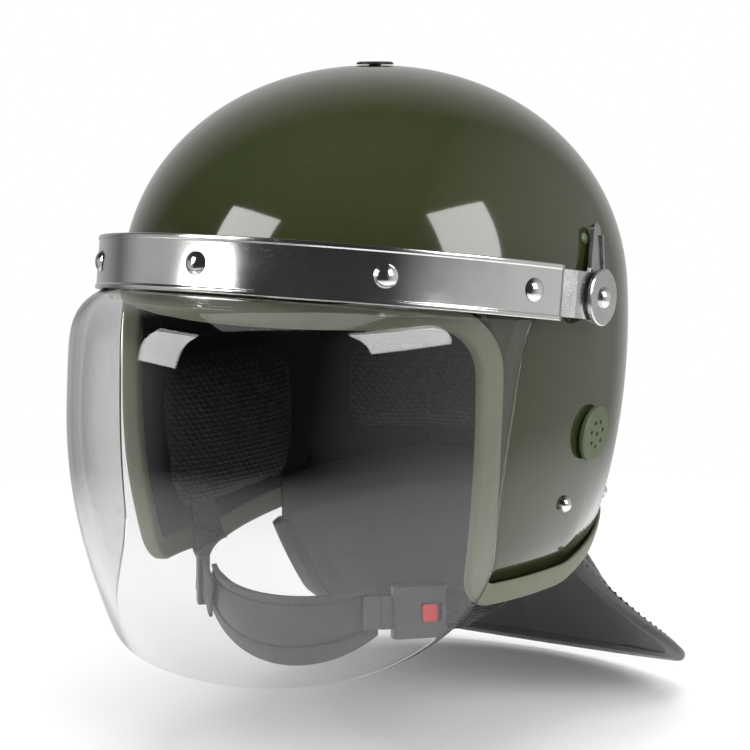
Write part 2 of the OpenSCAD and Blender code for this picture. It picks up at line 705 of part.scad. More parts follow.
screw_tail = 2;
module pivot_screw() {
    inner_end = nut_x - screw_tail;
    color([0.85, 0.85, 0.86]) at_pivot() union() {
        along_x(inner_end) cylinder(h = head_x - inner_end + 0.1, d = screw_diameter);
        along_x(head_x) cylinder(h = 0.8, d = screw_head);
        along_x(head_x + 0.8) dome(screw_head, 2.6);
    }
}
module left_pivot_screw() { pivot_screw(); }
module right_pivot_screw() { mirror([1, 0, 0]) pivot_screw(); }

module pivot_nut() {
    color([0.6, 0.6, 0.62]) at_pivot() along_x(nut_x) difference() {
        cylinder(h = nut_height, d = nut_diameter, $fn = 6);
        translate([0, 0, -1]) cylinder(h = nut_height + 2, d = screw_diameter + 0.1);
    }
}
module left_pivot_nut() { pivot_nut(); }
module right_pivot_nut() { mirror([1, 0, 0]) pivot_nut(); }

spring_diameter = 20;
module spring_washer() {
    color([0.6, 0.6, 0.62]) at_pivot() along_x(spring_x) difference() {
        cylinder(h = spring_thickness, d = spring_diameter);
        translate([0, 0, -1]) cylinder(h = spring_thickness + 2, d = screw_diameter + 0.2);
    }
}
module left_spring_washer() { spring_washer(); }
module right_spring_washer() { mirror([1, 0, 0]) spring_washer(); }

module pivot_disc() {
    color([0.78, 0.78, 0.79]) at_pivot() along_x(disc_x) difference() {
        union() {
            cylinder(h = disc_thickness - 0.6, d = disc_diameter);
            translate([0, 0, disc_thickness - 0.6])
                cylinder(h = 0.6, d1 = disc_diameter, d2 = disc_diameter - 1.2);
        }
        translate([0, 0, -1]) cylinder(h = disc_thickness + 2, d = screw_diameter + 0.2);
    }
}
module left_pivot_disc() { pivot_disc(); }
module right_pivot_disc() { mirror([1, 0, 0]) pivot_disc(); }

// Everything on the band is drawn level and tilted about the pivot axis.
module tilted() {
    translate([0, -pivot_forward, 0]) rotate([-band_tilt, 0, 0]) translate([0, pivot_forward, 0]) children();
}
function band_point(a, o) = [(band_half_width + o) * sin(a), -(band_front + o) * cos(a)];
function band_heading(a) = atan2(-cos(a) / band_front, sin(a) / band_half_width);
// An arc of the band's plan between two offsets.
module band_arc(limit, outside, inside, n = 40) {
    polygon(concat([for (k = [0:n]) band_point(-limit + 2 * limit * k / n, outside)],
        [for (k = [n:-1:0]) band_point(-limit + 2 * limit * k / n, inside)]));
}
// Children stand on the band's outer face, their Z axis pointing out of it.
module on_band(a) {
    p = band_point(a, 0);
    translate([p[0], p[1], 0]) rotate([0, 90, band_heading(a)]) children();
}
band_rivet_angles = [-outer_rivet_angle, -rivet_angle, 0, rivet_angle, outer_rivet_angle];
module rivet_bores(d) {
    for (a = band_rivet_angles)
        on_band(a) translate([0, 0, -14]) cylinder(h = 20, d = d);
}

bead = 0.5;
bead_height = 1.6;
module front_band() {
    color([0.75, 0.74, 0.74]) tilted() difference() {
        translate([0, 0, -band_height / 2]) linear_extrude(height = band_height)
            band_arc(band_angle, bead, -band_wall);
        // The band is thinner between its two beads.
        translate([0, 0, bead_height - band_height / 2]) linear_extrude(height = band_height - 2 * bead_height)
            band_arc(band_angle + 3, bead + 3, 0);
        rivet_bores(rivet_shank + 0.1);
    }
}

gasket_height = 19;
gasket_out = -band_wall - 0.15;
module visor_gasket() {
    color([0.12, 0.12, 0.12]) tilted() difference() {
        translate([0, 0, -gasket_height / 2]) linear_extrude(height = gasket_height)
            band_arc(visor_top_angle, gasket_out, gasket_out - gasket_wall);
        rivet_bores(rivet_shank + 0.1);
    }
}

rivet_dome = 2.6;
rivet_end = band_wall + gasket_wall + visor_wall + 1;
module band_rivets() {
    color([0.85, 0.85, 0.86]) tilted()
        for (a = band_rivet_angles)
            on_band(a) union() {
                translate([0, 0, 0.25]) dome(rivet_head, rivet_dome);
                translate([0, 0, -rivet_end]) cylinder(h = rivet_end + 0.4, d = rivet_shank);
                translate([0, 0, -rivet_end - 0.7]) cylinder(h = 1, d = rivet_head - 3);
            }
}

// Visor: flat behind the band, a rounded shoulder, then a tuck towards the chin.
visor_top_angle = 70;
visor_top = band_height / 2 - 3;
visor_shoulder = -band_height / 2;
visor_peak = -68;
visor_seat = gasket_out - gasket_wall - 0.3;
visor_side_taper = 0.1;
shoulder_power = 6;
function visor_shape(z) =
    let (h = max(0, (visor_shoulder - z) / (visor_shoulder - visor_peak)))
    1 - pow(1 - min(1, h), shoulder_power);
function visor_fall(z) = pow(max(0, (visor_peak - z) / (visor_drop + visor_peak)), 2);
function visor_point(a, z, o) =
    [(band_half_width + visor_seat + o - visor_side_taper * max(0, visor_shoulder - z)) * sin(a),
    -(band_front + visor_seat + o + visor_bulge * visor_shape(z) - visor_tuck * visor_fall(z)) * cos(a), z];
function visor_limit(z) =
    let (under = min(1, max(0, (visor_corner - visor_drop - z) / visor_corner)),
        side = visor_top_angle + (visor_angle - visor_top_angle) * visor_shape(z))
    side * sqrt(1 - under * under);
visor_rows = concat([visor_top, 0, visor_shoulder],
    [for (k = [0.06, 0.16, 0.3, 0.5, 0.75, 1]) visor_shoulder + (visor_peak - visor_shoulder) * k],
    [for (k = [1:3]) visor_peak + (visor_corner - visor_drop - visor_peak) * k / 3],
    [for (k = [1:7]) visor_corner - visor_drop - visor_corner * sin(84 * k / 7)]);
visor_across = 24;
module visor() {
    function sheet(o) = [for (z = visor_rows)
        let (limit = visor_limit(z))
        [for (j = [0:visor_across]) visor_point(-limit + 2 * limit * j / visor_across, z, o)]];
    color([0.85, 0.9, 0.92, 0.35]) tilted() difference() {
        slab(sheet(0), sheet(-visor_wall));
        rivet_bores(rivet_shank + 0.1);
    }
}

// Bracket: a strip inside the band's end that runs to an eye on the pivot.
bracket_height = 22;
bracket_start = visor_top_angle + 1.5;
bracket_seat = -band_wall - 0.1;
module bracket() {
    n = 6;
    outer = [for (k = [0:n]) band_point(bracket_start + (band_angle - bracket_start) * k / n, bracket_seat)];
    inner = [for (k = [n:-1:0])
        band_point(bracket_start + (band_angle - bracket_start) * k / n, bracket_seat - bracket_thickness)];
    reach = pivot_forward + bracket_diameter * 0.4;
    color([0.7, 0.69, 0.69]) difference() {
        union() {
            tilted() translate([0, 0, -bracket_height / 2]) linear_extrude(height = bracket_height)
                polygon(concat(outer, [[bracket_x + bracket_thickness, -reach - 12],
                    [bracket_x + bracket_thickness, -reach + 4], [bracket_x, -reach + 4],
                    [bracket_x, -reach - 12]], inner));
            at_pivot() along_x(bracket_x) cylinder(h = bracket_thickness, d = bracket_diameter);
        }
        at_pivot() along_x(bracket_x - 5)
            cylinder(h = bracket_thickness + 10, d = screw_diameter + 2 * pivot_clearance);
    }
}
module left_bracket() { bracket(); }
module right_bracket() { mirror([1, 0, 0]) bracket(); }

// Chin strap: anchors turn on the strap rivets between shell and cheek pad.
anchor_thickness = 1.6;
anchor_diameter = 16;
anchor_drop = 13;
anchor_x = half_width(-strap_depth - anchor_drop, 0) - shell_wall - anchor_thickness - 2;
module strap_rivets() {
    color([0.85, 0.85, 0.86]) both_sides() translate([0, -strap_forward, -strap_depth]) union() {
        along_x(strap_x + 1.2) dome(8, 2.6);
        along_x(anchor_x - 1.5) cylinder(h = strap_x - anchor_x + 3, d = strap_shank);
        along_x(anchor_x - 1.5) cylinder(h = 1.3, d = 9);
    }
}
module strap_anchor() {
    color([0.6, 0.6, 0.62]) translate([0, -strap_forward, -strap_depth]) difference() {
        union() {
            along_x(anchor_x) cylinder(h = anchor_thickness, d = anchor_diameter);
            translate([anchor_x, -anchor_diameter / 2, -anchor_drop])
                cube([anchor_thickness, anchor_diameter, anchor_drop]);
        }
        along_x(anchor_x - 5) cylinder(h = 15, d = strap_shank + 2 * pivot_clearance);
    }
}
module left_strap_anchor() { strap_anchor(); }
module right_strap_anchor() { mirror([1, 0, 0]) strap_anchor(); }

// A strap swept through stops [point, width direction].
function strap_rings(stops, width, thickness) =
    [for (i = [0:len(stops) - 1])
        let (p = stops[i][0], before = stops[max(0, i - 1)][0], after = stops[min(len(stops) - 1, i + 1)][0],
            t = unit(after - before), n = unit(cross(t, stops[i][1])), w = cross(n, t))
        [p + w * width / 2 + n * thickness / 2, p - w * width / 2 + n * thickness / 2,
        p - w * width / 2 - n * thickness / 2, p + w * width / 2 - n * thickness / 2]];

// The chin cup is an arc in plan, and the straps meet its ends along the tangent.
cup_bow = 21;
cup_front = 95;
cup_radius = (pow(cup_half_width, 2) + pow(cup_bow, 2)) / (2 * cup_bow);
cup_end_angle = asin(cup_half_width / cup_radius);
cup_middle = [0, cup_radius - cup_front];
cup_level = -strap_depth - 60;
cup_end_lift = 12;
cup_tuck = 9;
cup_end_height = strap_width + 3;
// A point of the cup at share u across and v down, o outside its outer face.
function cup_point(u, v, o) =
    let (a = cup_end_angle * (2 * u - 1), side = pow(2 * u - 1, 2),
        height = cup_height + (cup_end_height - cup_height) * side)
    [(cup_radius + o) * sin(a), cup_middle[1] - (cup_radius + o) * cos(a) + cup_tuck * v * v * (1 - side),
    cup_level + cup_end_lift * side + height * (0.5 - v)];
function cup_grid(across, down, inset, o, swell) =
    [for (i = [0:down]) [for (j = [0:across])
        let (u = j / across, v = i / down)
        cup_point(inset + (1 - 2 * inset) * u, inset + (1 - 2 * inset) * v,
            o - swell * crown(u, 0.3, 6) * crown(v, 0.3, 3))]];

module chin_cup() {
    color([0.3, 0.3, 0.31]) slab(cup_grid(18, 6, 0, 0, 0), cup_grid(18, 6, 0, -cup_wall, 0));
}
module chin_pad() {
    color([0.2, 0.2, 0.21]) slab(cup_grid(14, 6, 0.06, -cup_wall - gap - 0.2, 0),
        cup_grid(14, 6, 0.06, -cup_wall - gap - 0.2, chin_pad_thickness));
}

// Local frame of the left strap's end: X runs to the chin, Y out of the strap and Z up.
strap_lap = 11;
strap_lift = 0.7;
housing_length = 26;
housing_height = strap_width + 5;
housing_thickness = 9;
buckle_distance = housing_length / 2 + 6;
strap_offset = gap + strap_thickness / 2;
cup_end = cup_point(1, 0.5, strap_offset);
chin_way = [-cos(cup_end_angle), -sin(cup_end_angle), 0];
buckle_at = cup_end - buckle_distance * chin_way;
housing_back = buckle_at - (housing_length / 2 + gap) * chin_way;
module at_buckle() {
    translate(buckle_at) rotate([0, 0, 180 + cup_end_angle]) children();
}

// A box with round upright edges, centred on the origin.
module rounded_box(length, width, height, r) {
    translate([0, 0, -height / 2]) linear_extrude(height = height) union() {
        square([length - 2 * r, width], center = true);
        square([length, width - 2 * r], center = true);
        for (x = [-1, 1], y = [-1, 1])
            translate([x * (length / 2 - r), y * (width / 2 - r)]) circle(r = r);
    }
}

anchor_lap = gap + strap_thickness / 2;
strap_hang = [[[anchor_x - anchor_lap, -strap_forward - 1, -strap_depth - 9], [0, 1, 0]],
    [[anchor_x - 5, -strap_forward - 4, -strap_depth - 22], [0, 1, 0.1]],
    [[anchor_x - 12, -strap_forward - 9, -strap_depth - 36], [0, 0.9, 0.4]],
    [[anchor_x - 21, -strap_forward - 20, -strap_depth - 43], [0, 0.6, 0.8]],
    [housing_back - 8 * chin_way, [0, 0.1, 1]],
    [housing_back, [0, 0, 1]]];
module left_strap() {
    color([0.3, 0.3, 0.31]) capped_loft(strap_rings(strap_hang, strap_width, strap_thickness));
}
module right_strap() {
    color([0.3, 0.3, 0.31]) mirror([1, 0, 0])
        capped_loft(strap_rings(concat(strap_hang, [[cup_end, [0, 0, 1]],
            [cup_point(1 - strap_lap / (2 * cup_half_width), 0.5, strap_offset + strap_lift), [0, 0, 1]]]),
            strap_width, strap_thickness));
}

// The slide is a frame with two windows round the right strap.
slide_length = 10;
slide_wall = 1.8;
module strap_slide() {
    color([0.25, 0.25, 0.26]) mirror([1, 0, 0]) at_buckle() difference() {
        rounded_box(slide_length, strap_thickness + 2 * slide_wall + 2 * gap, strap_width + 5, 1.2);
        cube([slide_length + 2, strap_thickness + 2 * gap, strap_width + 2 * gap], center = true);
    }
}

tongue_thickness = 3.6;
tongue_height = 16;
tongue_depth = 18;
tab_length = 7;
tab_height = 8;
tab_recess = 2.4;
tab_proud = 2;
tab_at = [-4, housing_thickness / 2, 0];
module buckle_housing() {
    color([0.35, 0.35, 0.36]) at_buckle() difference() {
        rounded_box(housing_length, housing_thickness, housing_height, 2.5);
        // Mouth for the tongue.
        translate([housing_length / 2 - tongue_depth / 2 + 1, 0, 0])
            cube([tongue_depth + 2, tongue_thickness + 2 * gap, tongue_height + 2 * gap], center = true);
        // Recess that the release tab slides in.
        translate(tab_at - [release_travel / 2, tab_recess / 2 - 1, 0])
            cube([tab_length + release_travel + 2 * gap, tab_recess + 2, tab_height + 2 * gap],
                center = true);
    }
}
module buckle_tongue() {
    start = housing_length / 2 - tongue_depth + 1;
    color([0.35, 0.35, 0.36]) at_buckle() union() {
        translate([start, -tongue_thickness / 2, -tongue_height / 2])
            cube([buckle_distance - 2 * gap - start, tongue_thickness, tongue_height]);
        translate([buckle_distance - 3, -strap_thickness / 2, -tongue_height / 2])
            cube([strap_lap, strap_thickness, tongue_height]);
    }
}
module release_tab() {
    color([0.7, 0.1, 0.1]) at_buckle() translate(tab_at - [0, tab_recess - gap, 0])
        translate([0, (tab_recess + tab_proud - gap) / 2, 0])
        rotate([90, 0, 0]) rounded_box(tab_length, tab_height, tab_recess + tab_proud - gap, 1);
}

outer_shell();
edge_trim();
impact_liner();
crown_pad();
brow_pad();
nape_pad();
left_cheek_pad();
right_cheek_pad();
crown_plug();
nape_strip();
nape_rivets();
neck_cape();
cape_binding();
left_ear_vent();
right_ear_vent();
side_rivets();
left_base_plate();
right_base_plate();
left_lock_lever();
right_lock_lever();
left_pivot_screw();
right_pivot_screw();
left_pivot_nut();
right_pivot_nut();
left_spring_washer();
right_spring_washer();
left_pivot_disc();
right_pivot_disc();
front_band();
band_rivets();
visor_gasket();
visor();
left_bracket();
right_bracket();
strap_rivets();
left_strap_anchor();
right_strap_anchor();
left_strap();
right_strap();
strap_slide();
chin_cup();
chin_pad();
buckle_housing();
buckle_tongue();
release_tab();
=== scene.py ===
# %% [markdown]
# # A riot helmet
# The real thing is a glossy moulded shell with a rubber edge trim, a clear visor that hangs from a
# riveted steel band, a padded liner, a quilted neck cape and a chin strap with a cup. The
# construction model already holds every size and every joint. This lesson keeps its hard parts,
# gives them finishes, and models the large curved and the soft pieces again in fine meshes.

# %% Load the construction model
import math
import bpy
import bmesh
import numpy as np
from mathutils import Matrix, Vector, noise


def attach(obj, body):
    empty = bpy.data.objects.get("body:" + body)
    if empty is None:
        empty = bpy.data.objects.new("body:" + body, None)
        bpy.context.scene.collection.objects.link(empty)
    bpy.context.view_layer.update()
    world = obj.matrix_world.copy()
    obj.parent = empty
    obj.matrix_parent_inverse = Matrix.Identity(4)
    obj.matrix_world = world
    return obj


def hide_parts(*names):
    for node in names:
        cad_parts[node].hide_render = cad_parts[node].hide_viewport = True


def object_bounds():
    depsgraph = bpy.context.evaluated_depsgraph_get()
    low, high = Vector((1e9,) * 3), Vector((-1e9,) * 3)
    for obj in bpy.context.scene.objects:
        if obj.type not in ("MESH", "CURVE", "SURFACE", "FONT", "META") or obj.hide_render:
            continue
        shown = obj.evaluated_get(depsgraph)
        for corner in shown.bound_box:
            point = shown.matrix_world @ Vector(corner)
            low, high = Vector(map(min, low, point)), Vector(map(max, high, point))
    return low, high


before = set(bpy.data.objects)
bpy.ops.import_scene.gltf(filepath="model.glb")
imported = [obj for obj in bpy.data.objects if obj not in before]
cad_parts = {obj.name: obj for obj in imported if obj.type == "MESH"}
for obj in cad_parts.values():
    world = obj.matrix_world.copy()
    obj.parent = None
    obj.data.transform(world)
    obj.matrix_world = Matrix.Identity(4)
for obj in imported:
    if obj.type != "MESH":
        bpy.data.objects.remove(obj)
cad_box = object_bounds()
print("nodes", len(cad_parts), "box", [[round(c, 4) for c in corner] for corner in cad_box])

# %% [markdown]
# ## The skin that everything follows
# A moulded shell is drawn as one smooth skin: an ellipse in plan at each height, whose half axes
# shrink towards the crown. Shell, trim, nape strip, liner and pads all lie at some offset from it.
# Writing the skin as a function gives them one common form, and lets a mesh be as fine as it needs
# to be. The numbers are those of the construction model, in millimetres and degrees.

# %% The skin of the shell
HALF_WIDTH, CROWN, FRONT, BACK, BACK_DEPTH = 124.0, 109.0, 131.0, 143.0, 40.0
WALL, TRIM_WIDTH, TRIM_WALL, TRIM_GAP = 4.0, 9.0, 2.2, 0.3
BROW, NAPE, FLAP, FLAP_BACK = -9.0, -115.0, -141.0, 92.0
STRIP_HEIGHT, STRIP_ANGLE = 31.0, 50.0
SIDE_FALL, FRONT_FALL, CROWN_POWER, FLAP_POWER, FLAP_FULL = 265.0, 400.0, 2.1, 2.4, 110.0
GIRTH = HALF_WIDTH * math.pi / 180
DISH, DISH_ANGLE, DISH_MIDDLE, DISH_SPAN = 5.0, STRIP_ANGLE + 10, 78.0, 36.0


def sin(a):
    """The sine of an angle in degrees."""
    return math.sin(math.radians(a))


def cos(a):
    """The cosine of an angle in degrees."""
    return math.cos(math.radians(a))


def skin(a, z, o=0.0):
    """The point at angle a from the front, height z and offset o from the shell's outer face."""
    side = min(1, abs(180 - a) / DISH_ANGLE)
    rise = min(1, abs(z + DISH_MIDDLE) / DISH_SPAN)
    o = o - DISH * cos(90 * side) ** 2 * cos(90 * rise) ** 2
    top = CROWN + o
    if z > 0:
        wide = (HALF_WIDTH + o) * max(0, 1 - (z / top) ** CROWN_POWER) ** (1 / CROWN_POWER)
    else:
        wide = (HALF_WIDTH + o) * math.sqrt(1 - (z / SIDE_FALL) ** 2)
    if cos(a) > 0:
        reach = (FRONT + o) * math.sqrt(max(0, 1 - (z / (top if z > 0 else FRONT_FALL)) ** 2))
        power = 2 + (FLAP_POWER - 2) * sin(90 * min(1, max(0, -z / FLAP_FULL))) ** 2
        e = 2 / power
        return np.array([wide * math.copysign(abs(sin(a)) ** e, sin(a)), -reach * cos(a) ** e, z])
    reach = (BACK + o) * math.sqrt(max(0, 1 - ((z + BACK_DEPTH) / (top + BACK_DEPTH)) ** 2))
    return np.array([wide * sin(a), -reach * cos(a), z])


def wrap(p, o=0.0):
    """The same for a point given by its distance along the girth."""
    return skin(p[0] / GIRTH, p[1], o)


print("shell is", 2 * HALF_WIDTH, "x", FRONT + BACK, "x", CROWN - FLAP, "mm")

# %% [markdown]
# ## The rim
# The rim runs from the middle of the brow round the face opening, under the ear flap and up to the
# nape. On the unrolled skin it is a line of straights with round corners, so it is drawn there and
# then wrapped. Only the left half is written; the right half is its mirror image.

# %% The rim's path
def unit(v):
    """The direction of v."""
    return v / np.linalg.norm(v)


def corner_points(p, c, q, r, n):
    """Points of a round corner of radius r between the lines p-c and c-q."""
    u, v = unit(p - c), unit(q - c)
    half = math.acos(max(-1, min(1, float(u @ v)))) / 2
    middle = c + unit(u + v) * r / math.sin(half)
    start = c + u * r / math.tan(half) - middle
    before, after = c - p, q - c
    way = math.copysign(1, before[0] * after[1] - before[1] * after[0]) * (math.pi - 2 * half)
    first = math.atan2(start[1], start[0])
    turns = [first + way * k / n for k in range(n + 1)]
    return [middle + r * np.array([math.cos(turn), math.sin(turn)]) for turn in turns]


def rounded_path(corners, step, n):
    """A path through corners (angle, height, radius), with points about a step apart between them."""
    flat = [np.array([a * GIRTH, z]) for a, z, _ in corners]
    stops = [[flat[0]]]
    for i in range(1, len(flat) - 1):
        stops.append(corner_points(*flat[i - 1:i + 2], corners[i][2], n))
    stops.append([flat[-1]])
    path = list(stops[0])
    for here, there in zip(stops, stops[1:]):
        p, q = here[-1], there[0]
        runs = max(1, round(np.linalg.norm(q - p) / step))
        path += [p + (q - p) * k / runs for k in range(1, runs)] + there
    return path


def path_normals(path):
    """The direction to the left of each point; the ends look straight up."""
    upright = np.array([0.0, 1.0])
    ways = [unit(after - before) for before, after in zip(path, path[2:])]
    return [upright] + [np.array([-t[1], t[0]]) for t in ways] + [upright]


rim = rounded_path([(0, BROW, 0), (57, BROW, 25), (61, FLAP, 16), (FLAP_BACK, FLAP, 70), (125, NAPE - 11, 90),
                    (158, NAPE, 60), (180, NAPE, 0)], 5, 12)
rim_back = [p for p in rim if p[0] > FLAP_BACK * GIRTH]


def rim_height(a):
    """Height of the rim at angle a, behind the ears."""
    return float(np.interp(a * GIRTH, [p[0] for p in rim_back], [p[1] for p in rim_back]))


print("rim points", len(rim), "nape rim at", rim_height(180))

# %% [markdown]
# ## Meshes from rows of points
# Most pieces are a grid of points: rows that follow each other, closed to a ring or left open.
# A few small helpers make faces between such rows, put the mesh on the body that carries it, and
# hide the plain solid that it stands for.

# %% Mesh helpers
MM = 0.001


def shares(n):
    """The shares from 0 to 1 in n even steps."""
    return [k / n for k in range(n + 1)]


def other_side(p):
    """The same place on the other side of the helmet."""
    return np.array([-p[0], p[1], p[2]])


def place_mesh(name, mesh, body, nodes=()):
    """Puts a mesh on the body that carries it, where it stands for some nodes."""
    piece = bpy.data.objects.new(name, mesh)
    bpy.context.scene.collection.objects.link(piece)
    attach(piece, body)
    if nodes:
        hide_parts(*nodes)
    return piece


def add_piece(name, shape, body, material, nodes=()):
    """A smooth piece from a shape: its points in millimetres and its faces."""
    points, faces = shape
    mesh = bpy.data.meshes.new(name)
    mesh.from_pydata([Vector([float(c) * MM for c in p]) for p in points], [], faces)
    work = bmesh.new()
    work.from_mesh(mesh)
    bmesh.ops.recalc_face_normals(work, faces=work.faces)
    work.to_mesh(mesh)
    work.free()
    for face in mesh.polygons:
        face.use_smooth = True
    mesh.materials.append(material)
    return place_mesh(name, mesh, body, nodes)


def grid_faces(rows, cols, ring, start=0):
    """Four-sided faces between rows of points, closed to a ring or open."""
    faces = []
    for i in range(rows - 1):
        for j in range(cols if ring else cols - 1):
            a, b = start + i * cols + j, start + i * cols + (j + 1) % cols
            faces.append((a, b, b + cols, a + cols))
    return faces


print("a ring of 8 points in 3 rows has", len(grid_faces(3, 8, True)), "faces")

# %% [markdown]
# ## Effects that several finishes share
# Grain, weave, fine scratches and dust show on more than one material. Each is a node group with
# named inputs, built once. It works on object coordinates, because no piece here has a UV map, and
# it gives out only masks and heights; the shader that uses them stays in each material.

# %% Node helpers
def add_node(tree, kind, inputs=(), **settings):
    """A node with its settings, and its sockets set to values or linked to other sockets."""
    node = tree.nodes.new(kind)
    for key, value in settings.items():
        setattr(node, key, value)
    for key, value in dict(inputs).items():
        if isinstance(value, bpy.types.NodeSocket):
            tree.links.new(value, node.inputs[key])
        else:
            node.inputs[key].default_value = value
    return node


def math_node(tree, operation, a, b=0.0):
    """The result of one sum."""
    return add_node(tree, "ShaderNodeMath", {0: a, 1: b}, operation=operation).outputs[0]


def spread(tree, value, low, high, start, end, curve="LINEAR"):
    """Maps a value from one range to another."""
    ranges = {"Value": value, "From Min": low, "From Max": high, "To Min": start, "To Max": end}
    return add_node(tree, "ShaderNodeMapRange", ranges, interpolation_type=curve).outputs[0]


def place_on(tree):
    """The place on the piece, in the piece's own coordinates."""
    return add_node(tree, "ShaderNodeTexCoord").outputs["Object"]


def noise_at(tree, where, scale, detail, roughness=0.5):
    """The value of a noise texture."""
    inputs = {"Vector": where, "Scale": scale, "Detail": detail, "Roughness": roughness}
    return add_node(tree, "ShaderNodeTexNoise", inputs).outputs["Fac"]


def mix_colour(tree, share, a, b):
    """The colour at a share of the way from a to b."""
    inputs = {"Factor": share, "A": a, "B": b}
    return add_node(tree, "ShaderNodeMix", inputs, data_type="RGBA").outputs["Result"]


def mix_shader(tree, share, a, b):
    """The shader at a share of the way from a to b."""
    return add_node(tree, "ShaderNodeMixShader", {0: share, 1: a, 2: b}).outputs[0]


def new_group(name, inputs, outputs):
    """A shader node group, with the sockets inside it that bring in and take out its numbers."""
    group = bpy.data.node_groups.new(name, "ShaderNodeTree")
    for title, value in inputs.items():
        socket = group.interface.new_socket(name=title, in_out="INPUT", socket_type="NodeSocketFloat")
        socket.default_value = value
    for title in outputs:
        group.interface.new_socket(name=title, in_out="OUTPUT", socket_type="NodeSocketFloat")
    return group, group.nodes.new("NodeGroupInput").outputs, group.nodes.new("NodeGroupOutput").inputs


def use_group(tree, group, inputs):
    """The outputs of one use of a group."""
    return add_node(tree, "ShaderNodeGroup", inputs, node_tree=group).outputs


print("groups before the first effect", len(bpy.data.node_groups))

# %% [markdown]
# Grain is the fine unevenness of moulded plastic, rubber and leather: rounded cells at one scale
# and soft noise at another. A Voronoi texture gives the cells, and noise keeps them from repeating.

# %% Grain group
grain, given, result = new_group("fine_grain", {"Cell Size": 900.0, "Cell Depth": 0.5, "Mottle Size": 12.0},
                                 ["Height", "Mottle"])
where = place_on(grain)
cells = add_node(grain, "ShaderNodeTexVoronoi", {"Vector": where, "Scale": given["Cell Size"]}, feature="F1")
cells = math_node(grain, "MULTIPLY", cells.outputs["Distance"], given["Cell Depth"])
dots = noise_at(grain, where, given["Cell Size"], 3.0)
grain.links.new(math_node(grain, "ADD", cells, dots), result["Height"])
grain.links.new(noise_at(grain, where, given["Mottle Size"], 5.0, 0.6), result["Mottle"])
print("groups", len(bpy.data.node_groups))

# %% [markdown]
# Handling leaves hairline scratches on gloss and on bare metal. They are thin, long and in all
# directions, so two stretched noises are crossed and only their peaks are kept.

# %% Scratch group
scratch, given, result = new_group("hairline_scratches", {"Size": 60.0, "Share": 0.5}, ["Mask"])
where = place_on(scratch)
lines = []
for turn in (0.6, -0.9):
    turned = add_node(scratch, "ShaderNodeMapping",
                      {"Vector": where, "Rotation": (turn, turn * 0.7, turn), "Scale": (1.0, 14.0, 14.0)})
    hair = noise_at(scratch, turned.outputs[0], given["Size"], 2.0)
    lines.append(spread(scratch, hair, 0.66, 0.74, 0.0, 1.0))
patches = spread(scratch, noise_at(scratch, where, 9.0, 2.0), 0.45, 0.7, 0.0, 1.0)
patchy = math_node(scratch, "MULTIPLY", math_node(scratch, "MAXIMUM", *lines), patches)
scratch.links.new(math_node(scratch, "MULTIPLY", patchy, given["Share"]), result["Mask"])
print("groups", len(bpy.data.node_groups))

# %% [markdown]
# Webbing, mesh cloth and the lining are woven. Two wave textures that cross each other make the
# threads: their product is high where both are, and the gaps between threads are where it is low.

# %% Weave group
weave, given, result = new_group("woven_threads", {"Threads": 900.0, "Fuzz": 0.2}, ["Height", "Gaps"])
where = place_on(weave)
waves = []
for axis in ("Z", "DIAGONAL"):
    inputs = {"Vector": where, "Scale": given["Threads"], "Distortion": 0.4}
    wave = add_node(weave, "ShaderNodeTexWave", inputs, wave_type="BANDS", bands_direction=axis)
    waves.append(wave.outputs["Fac"])
woven = math_node(weave, "MULTIPLY", *waves)
fuzz = math_node(weave, "MULTIPLY", noise_at(weave, where, 2500.0, 2.0), given["Fuzz"])
weave.links.new(math_node(weave, "ADD", woven, fuzz), result["Height"])
weave.links.new(spread(weave, woven, 0.02, 0.3, 1.0, 0.0), result["Gaps"])
print("groups", len(bpy.data.node_groups))

# %% [markdown]
# Dust settles on what faces up, in soft patches. The group reads the surface's own direction in the
# world and breaks it up with noise.

# %% Dust group
dust, given, result = new_group("settled_dust", {"Amount": 0.3}, ["Mask"])
facing = add_node(dust, "ShaderNodeNewGeometry").outputs["Normal"]
upward = add_node(dust, "ShaderNodeSeparateXYZ", {0: facing}).outputs["Z"]
where = place_on(dust)
specks = spread(dust, noise_at(dust, where, 340.0, 4.0), 0.5, 0.75, 0.0, 1.0)
clouds = spread(dust, noise_at(dust, where, 11.0, 3.0), 0.4, 0.7, 0.2, 1.0)
lying = math_node(dust, "MULTIPLY", math_node(dust, "MULTIPLY", specks, clouds),
                  spread(dust, upward, 0.1, 0.9, 0.1, 1.0))
dust.links.new(math_node(dust, "MULTIPLY", lying, given["Amount"]), result["Mask"])
print("groups", [g.name for g in bpy.data.node_groups])

# %% [markdown]
# ## Finishes
# Each finish is one Principled shader with its even values set on its own sockets. What varies over
# the surface comes from the groups: two close colours mixed by the mottle, a roughness that wanders
# a little, and a bump. A small helper wires that up, and each material adds what is its own.

# %% Material helper
MOTTLE_LOW, MOTTLE_HIGH = 0.3, 0.7
GAP_SHARE, GAP_TONE = 0.8, 0.35
SCRATCH_ROUGH, DUST_ROUGH, DUST_COLOUR = 0.35, 0.3, (0.5, 0.49, 0.46, 1)


def tree_and_shader(material):
    """The node tree of a material and its Principled shader."""
    return material.node_tree, material.node_tree.nodes["Principled BSDF"]


def new_material(name):
    """A new material with its node tree and its Principled shader."""
    material = bpy.data.materials.new(name)
    material.use_nodes = True
    return material, *tree_and_shader(material)


